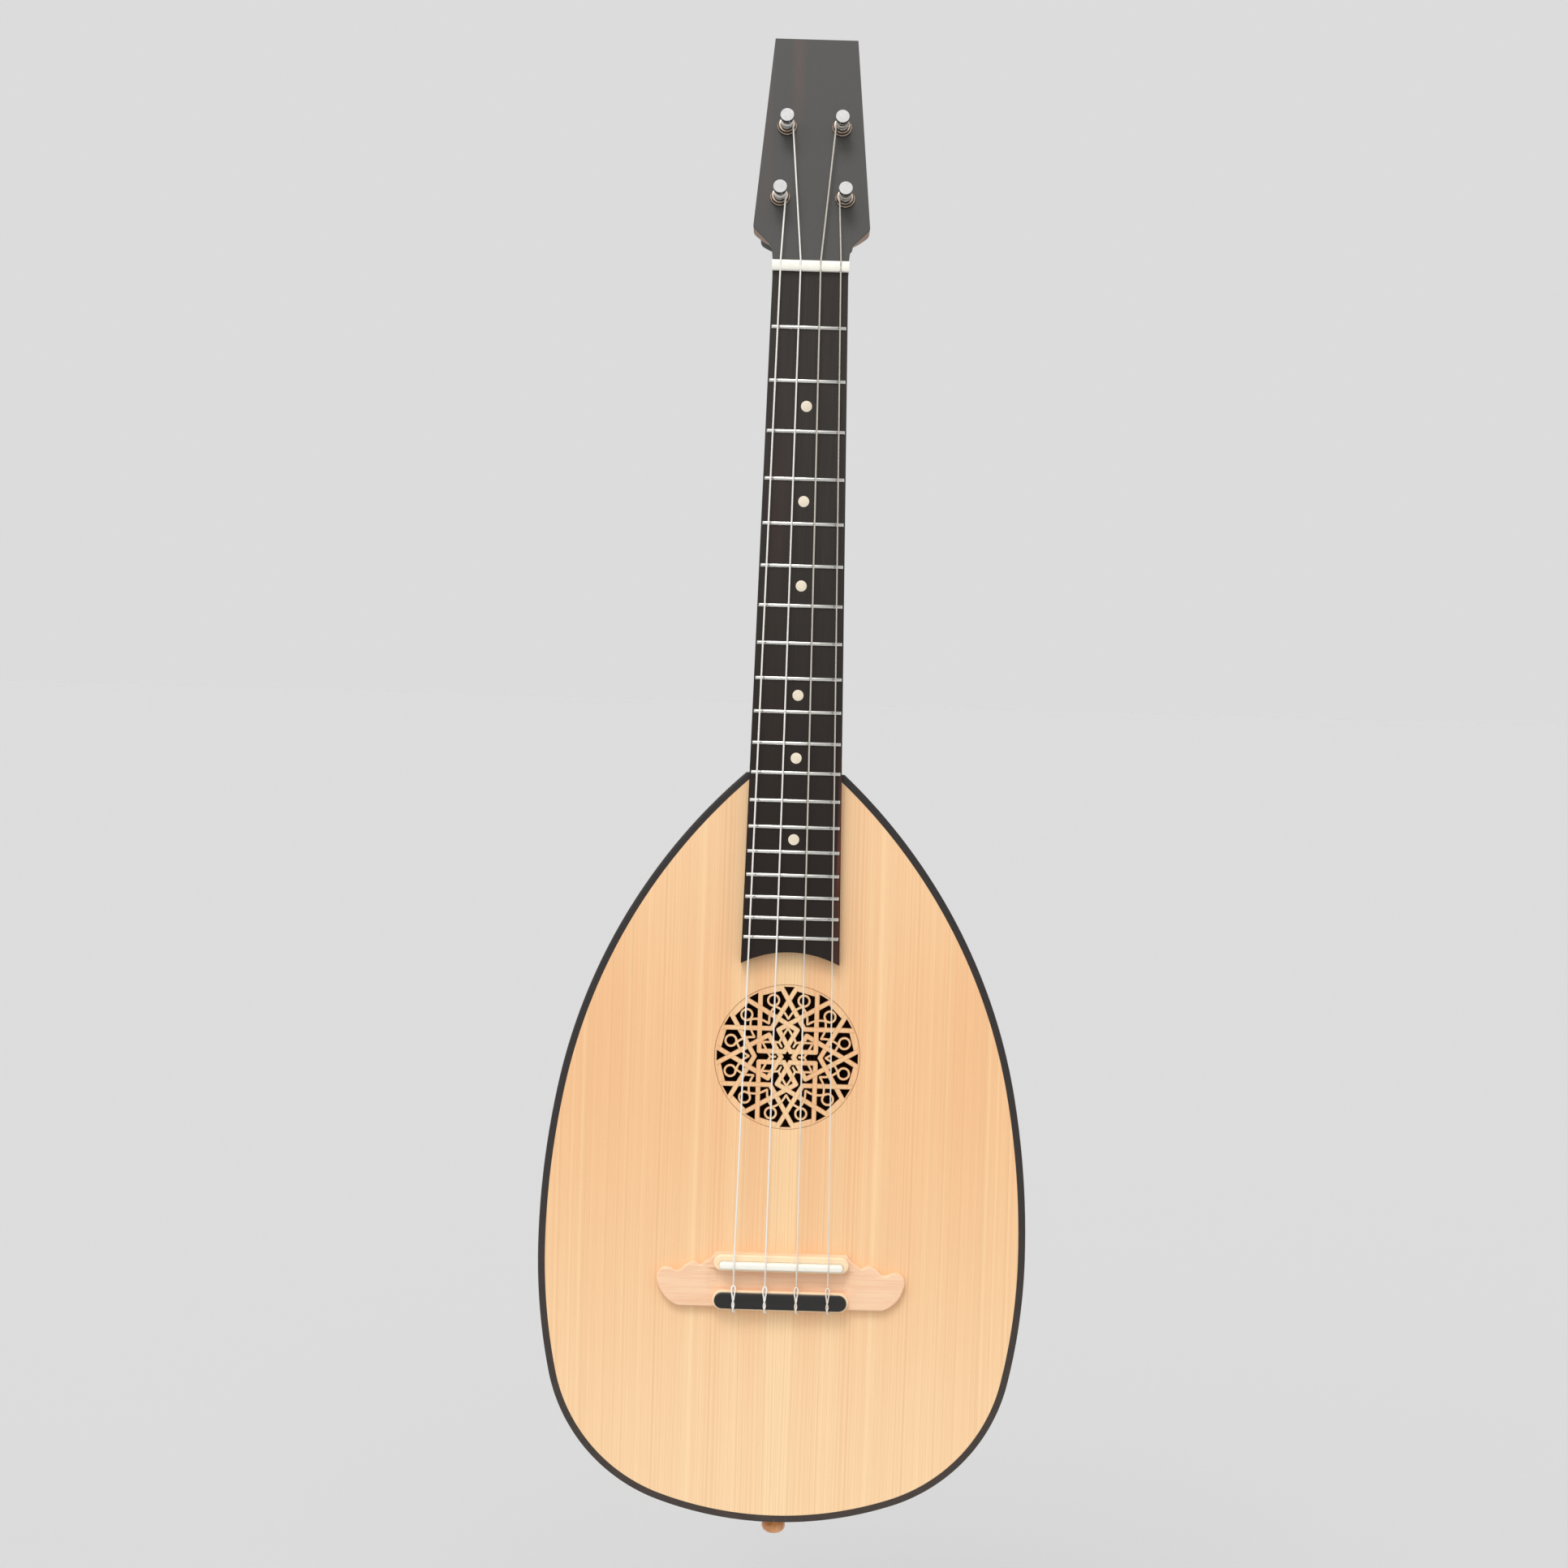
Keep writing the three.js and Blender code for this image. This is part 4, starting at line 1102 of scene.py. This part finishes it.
def coil_path(hand):
    """Turns of string on the peg, from its cross hole down to the string's own last turn."""
    turns = 2.2
    path = [np.array((0.0, -1.0, 8.3)), np.array((0.0, 0.4, 8.35))]
    for i in range(int(turns * 18) + 1):
        share = i / (turns * 18)
        a = pi / 2 - hand * 2 * pi * turns * share
        lift = 8.3 - 1.85 * share + 0.12 * sin(share * 17)
        path.append(np.array((COIL * cos(a), COIL * sin(a), lift)))
    return path


def pegs():
    """Four pegs, alike but for their angle and the string round them."""
    post = lathe([[0, -30], [2.8, -30], [2.8, 3.0], [3.05, 3.4], [3.05, 3.8], [2.6, 4.3],
                  [2.5, 4.8], [2.5, 8.8], [2.9, 9.6], [3.25, 10.2], [3.25, 10.5], [3.0, 10.7],
                  [3.0, 11.1], [3.42, 11.35], [3.53, 11.5], [3.53, 13.62], [3.4, 13.8],
                  [0, 13.84]], 64)
    ferrule = lathe([[3.1, -5.4], [4.3, -5.4], [4.3, 0.02], [5.1, 0.02], [5.15, 0.5],
                     [5.0, 1.05], [4.6, 1.3], [4.45, 1.75], [4.35, 2.6], [4.1, 2.95],
                     [3.6, 3.1], [3.15, 3.0]], ring=True)
    cup = lathe([[3.1, -17.6], [5.3, -17.6], [6.1, -17.2], [6.55, -16.4], [6.6, -13],
                 [6.3, -12.2], [6.0, -11.55], [4.3, -11.55], [4.3, -6.6], [3.1, -6.6]], ring=True)
    screw = lathe([[0, -40], [1.5, -40], [1.5, -41.2], [2.8, -41.3], [2.9, -41.9],
                   [2.5, -42.6], [1.6, -43.0], [0.7, -43.2], [0, -43.2]], 32)
    # Name, shape, material, slot, sharp angle and whether the piece turns with the peg.
    pieces = [("post", post, "chrome", "chrome", 25, True),
              ("ferrule", ferrule, "ferrule", "chrome", 35, False),
              ("cup", cup, "peg_black", "peg_black", 35, False),
              ("button", button_shape(), "peg_black", "peg_black", 35, True),
              ("screw", screw, "chrome", "chrome", 35, True)]
    for number, (x, q, turn) in PEGS.items():
        for name, shape, material, slot, sharp, turns in pieces:
            placed = moved(shape, lambda p: on_head(turned_about(p, -turn, x, q)))
            show(f"{name}_{number}", placed, material, [f"peg_{name}_{number}"], sharp,
                 f"peg_{number}" if turns else "instrument")
        coil(number, x, q)


# The loose string ends that stick out of a peg, in the peg's own frame.
LOOSE_ENDS = {2: [(-0.6, 2.2, 8.4), (-0.4, 3.4, 9.6), (0.2, 4.1, 10.6)],
              3: [(1.2, 1.8, 9.8), (2.3, 2.2, 11.6), (2.9, 2.3, 12.9)],
              4: [(0.4, 2.0, 8.0), (1.4, 2.9, 9.0), (2.6, 3.0, 9.4)]}


def coil(number, x, q):
    wraps = [tube(coil_path(-1 if x < 0 else 1), STRING_RADIUS[number], 10)]
    if number == 2:
        wraps.append(tube([(2.6, -1.2, 7.2), (3.5, -1.5, 7.7), (4.5, -2.0, 7.8)], 0.36, 8))
    if number in LOOSE_ENDS:
        wraps.append(tube(LOOSE_ENDS[number], STRING_RADIUS[number] * 0.9, 8))
    kind = "wound" if number > 2 else "clear"
    show(f"coil_{number}", moved(merge(*wraps), lambda p: on_head(p + (x, q, 0))), kind,
         [f"winding_{number}"], 60, f"peg_{number}")


def tie_knot(x):
    """The string's end: back over the tie bar, an eye round the string, and twisted back."""
    over = 2.05
    out = [(x, -534.1, -1.4), (x, -534.7, -0.2), (x - 0.1, -534.0, 1.6)]
    out += [(x + 0.45 * sin(i * 1.25), -532.6 + 1.6 * i, over + 0.25 * cos(i * 1.25))
            for i in range(5)]
    eye = [(x - 0.85, -523.9, 2.0), (x - 1.0, -522.6, 1.5), (x - 0.7, -521.4, 1.0),
           (x, -520.9, 0.85), (x + 0.7, -521.4, 1.0), (x + 1.0, -522.6, 1.5),
           (x + 0.85, -523.9, 2.0)]
    back = [(x - 0.45 * sin(i * 1.25), -532.6 + 1.6 * i, over - 0.25 * cos(i * 1.25))
            for i in reversed(range(5))]
    tail = [(x + 0.5, -533.9, 1.5), (x + 1.1, -534.9, 0.4)]
    return rounded(out + eye + back + tail, 4)


def strings():
    """From a last turn round the peg over nut and saddle to the knot at the tie bar."""
    turn = [radians(20 * i) for i in range(10, -1, -1)]
    for number, (nut_x, saddle_x) in STRING_PLACES.items():
        px, q, _ = PEGS[number]
        side = -math.copysign(1, px)
        radius = STRING_RADIUS[number]
        last_turn = on_head([(px + side * COIL * cos(a), q + COIL * sin(a), LAST_TURN)
                             for a in turn])
        crest = np.array((nut_x, -1.9, 2.2))
        saddle = np.array((saddle_x, -4.55 - radius, SLOT_Z + 0.1))
        hole = np.array((saddle_x, 1.5, -523.4))
        main = list(last_turn) + [crest + (0, 0.55, 2.6), crest, crest + (0, -0.02, -2.2)]
        main += [crest + (saddle - crest) * t for t in (0.25, 0.5, 0.75)]
        main += [saddle + (0, 0.02, 2.0), saddle, saddle + (0, 0.5, -1.5), hole,
                 hole + (0, 0.1, -9.5)]
        knot = front(tie_knot(saddle_x))
        shape = merge(tube(main, radius, 12), tube(knot, radius * 0.95, 10))
        kind = "wound" if number > 2 else "clear"
        show(f"nylon_{number}", shape, kind, [f"string_{number}"], 60)


def end_pin():
    profile = [[0, -13.4], [2.6, -13.1], [4.3, -12.4], [5.5, -11.4], [6.15, -10.2], [6.3, -9.0],
               [6.0, -7.9], [5.0, -6.7], [4.1, -5.2], [3.8, -3.6], [4.2, -2.0], [4.8, -0.9],
               [4.9, -0.2], [4.6, 0.3], [3.5, 0.3], [3.5, 16], [0, 16]]
    shape = moved(lathe(profile), lambda p: p + (0, PIN_Y, PIN_SEAT))
    show("tail_pin", shape, "pin", ["end_pin"], 40)


def inner_pieces():
    """The pieces inside the bowl keep their CAD shapes and get bare spruce, darkened as painted
    shade for the inside of the bowl.
    """
    for name in ("lining_left", "lining_right", "neck_block", "tail_block", "brace_upper",
                 "brace_middle", "brace_lower"):
        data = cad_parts[name].data
        data.materials.clear()
        data.materials.append(MATERIALS["inner_spruce"])


# ---------------- stage
CAMERA_PLACE = (-5.81, -1248.64, -202.55)
LENS = 56.06
BACKDROP = srgb(220, 220, 220)[0]
PITCH, ROLL = radians(2.67), radians(1.68)


def camera():
    """Straight on, a little above the middle and leaning as the photographer held it."""
    data = bpy.data.cameras.new("camera")
    data.sensor_width = 36
    data.lens = LENS
    data.clip_end = 50
    forward = Vector((0, cos(PITCH), -sin(PITCH)))
    level, up = Vector((1, 0, 0)), Vector((0, sin(PITCH), cos(PITCH)))
    right = level * cos(ROLL) + up * sin(ROLL)
    upward = up * cos(ROLL) - level * sin(ROLL)
    holder = linked("camera", data)
    place = Vector(np.array(CAMERA_PLACE) - ORIGIN) * MM
    turned = Matrix((right, upward, -forward)).transposed().to_4x4()
    holder.matrix_world = Matrix.Translation(place) @ turned
    bpy.context.scene.camera = holder


def floor():
    """A plain pale floor, far enough below that the shadow on it lies out of the camera's view."""
    size, drop = 60, 0.22
    level = cad_box[0].z - drop
    mesh = bpy.data.meshes.new("floor")
    mesh.from_pydata([(-size, -size, level), (size, -size, level), (size, size, level),
                      (-size, size, level)], [], [(0, 1, 2, 3)])
    s = Shader("floor_paint", Specular_IOR_Level=0.0, Base_Color=(FLOOR_TONE,) * 3 + (1,))
    mesh.materials.append(s.feed(roughness=s.remap(s.noise((3, 3, 3)), 0.3, 0.7, 0.85, 1.0)))
    linked("floor", mesh)


def studio():
    """A high soft box in front, a darker wall behind the photographer, soft light all round. What
    the camera sees past the object is an even pale grey."""
    world = bpy.data.worlds.new("studio")
    world.use_nodes = True
    s = Nodes(world.node_tree)
    heading = s.node("ShaderNodeTexCoord").outputs["Generated"]

    def towards(direction, low, high, strength):
        along = s.node("ShaderNodeVectorMath", {0: heading, 1: Vector(direction).normalized()},
                       operation="DOT_PRODUCT").outputs["Value"]
        return s.remap(along, low, high, 0, strength)

    glow = s.plus(towards((-0.25, -0.75, 0.62), 0.72, 0.93, SOFT_BOX),
                  towards((0.9, -0.35, 0.3), 0.8, 0.95, 0.6))
    glow = s.plus(glow, towards((-0.95, -0.2, 0.2), 0.85, 0.95, 0.5))
    dark = towards((0.0, -1.0, -0.05), 0.8, 0.93, 0.9)
    glow = s.plus(glow, s.times(0.45, s.minus(1.0, dark)))
    seen = s.node("ShaderNodeLightPath").outputs["Is Camera Ray"]
    tone = s.plus(s.times(seen, BACKDROP), s.times(s.minus(1.0, seen), glow))
    s.tree.links.new(tone, s.tree.nodes["Background"].inputs[0])
    bpy.context.scene.world = world
    bpy.context.scene.view_settings.view_transform = "Standard"
    data = bpy.data.lights.new("key", "SUN")
    data.energy = KEY
    data.angle = radians(22)
    direction = Vector((0.16, 0.55, -0.82))
    linked("key", data).rotation_euler = direction.to_track_quat("-Z", "Y").to_euler()


camera()
studio()
floor()
soundboard()
rose()
edging()
bowl()
bridge()
neck()
veneer()
fretboard()
nut()
pegs()
strings()
end_pin()
inner_pieces()
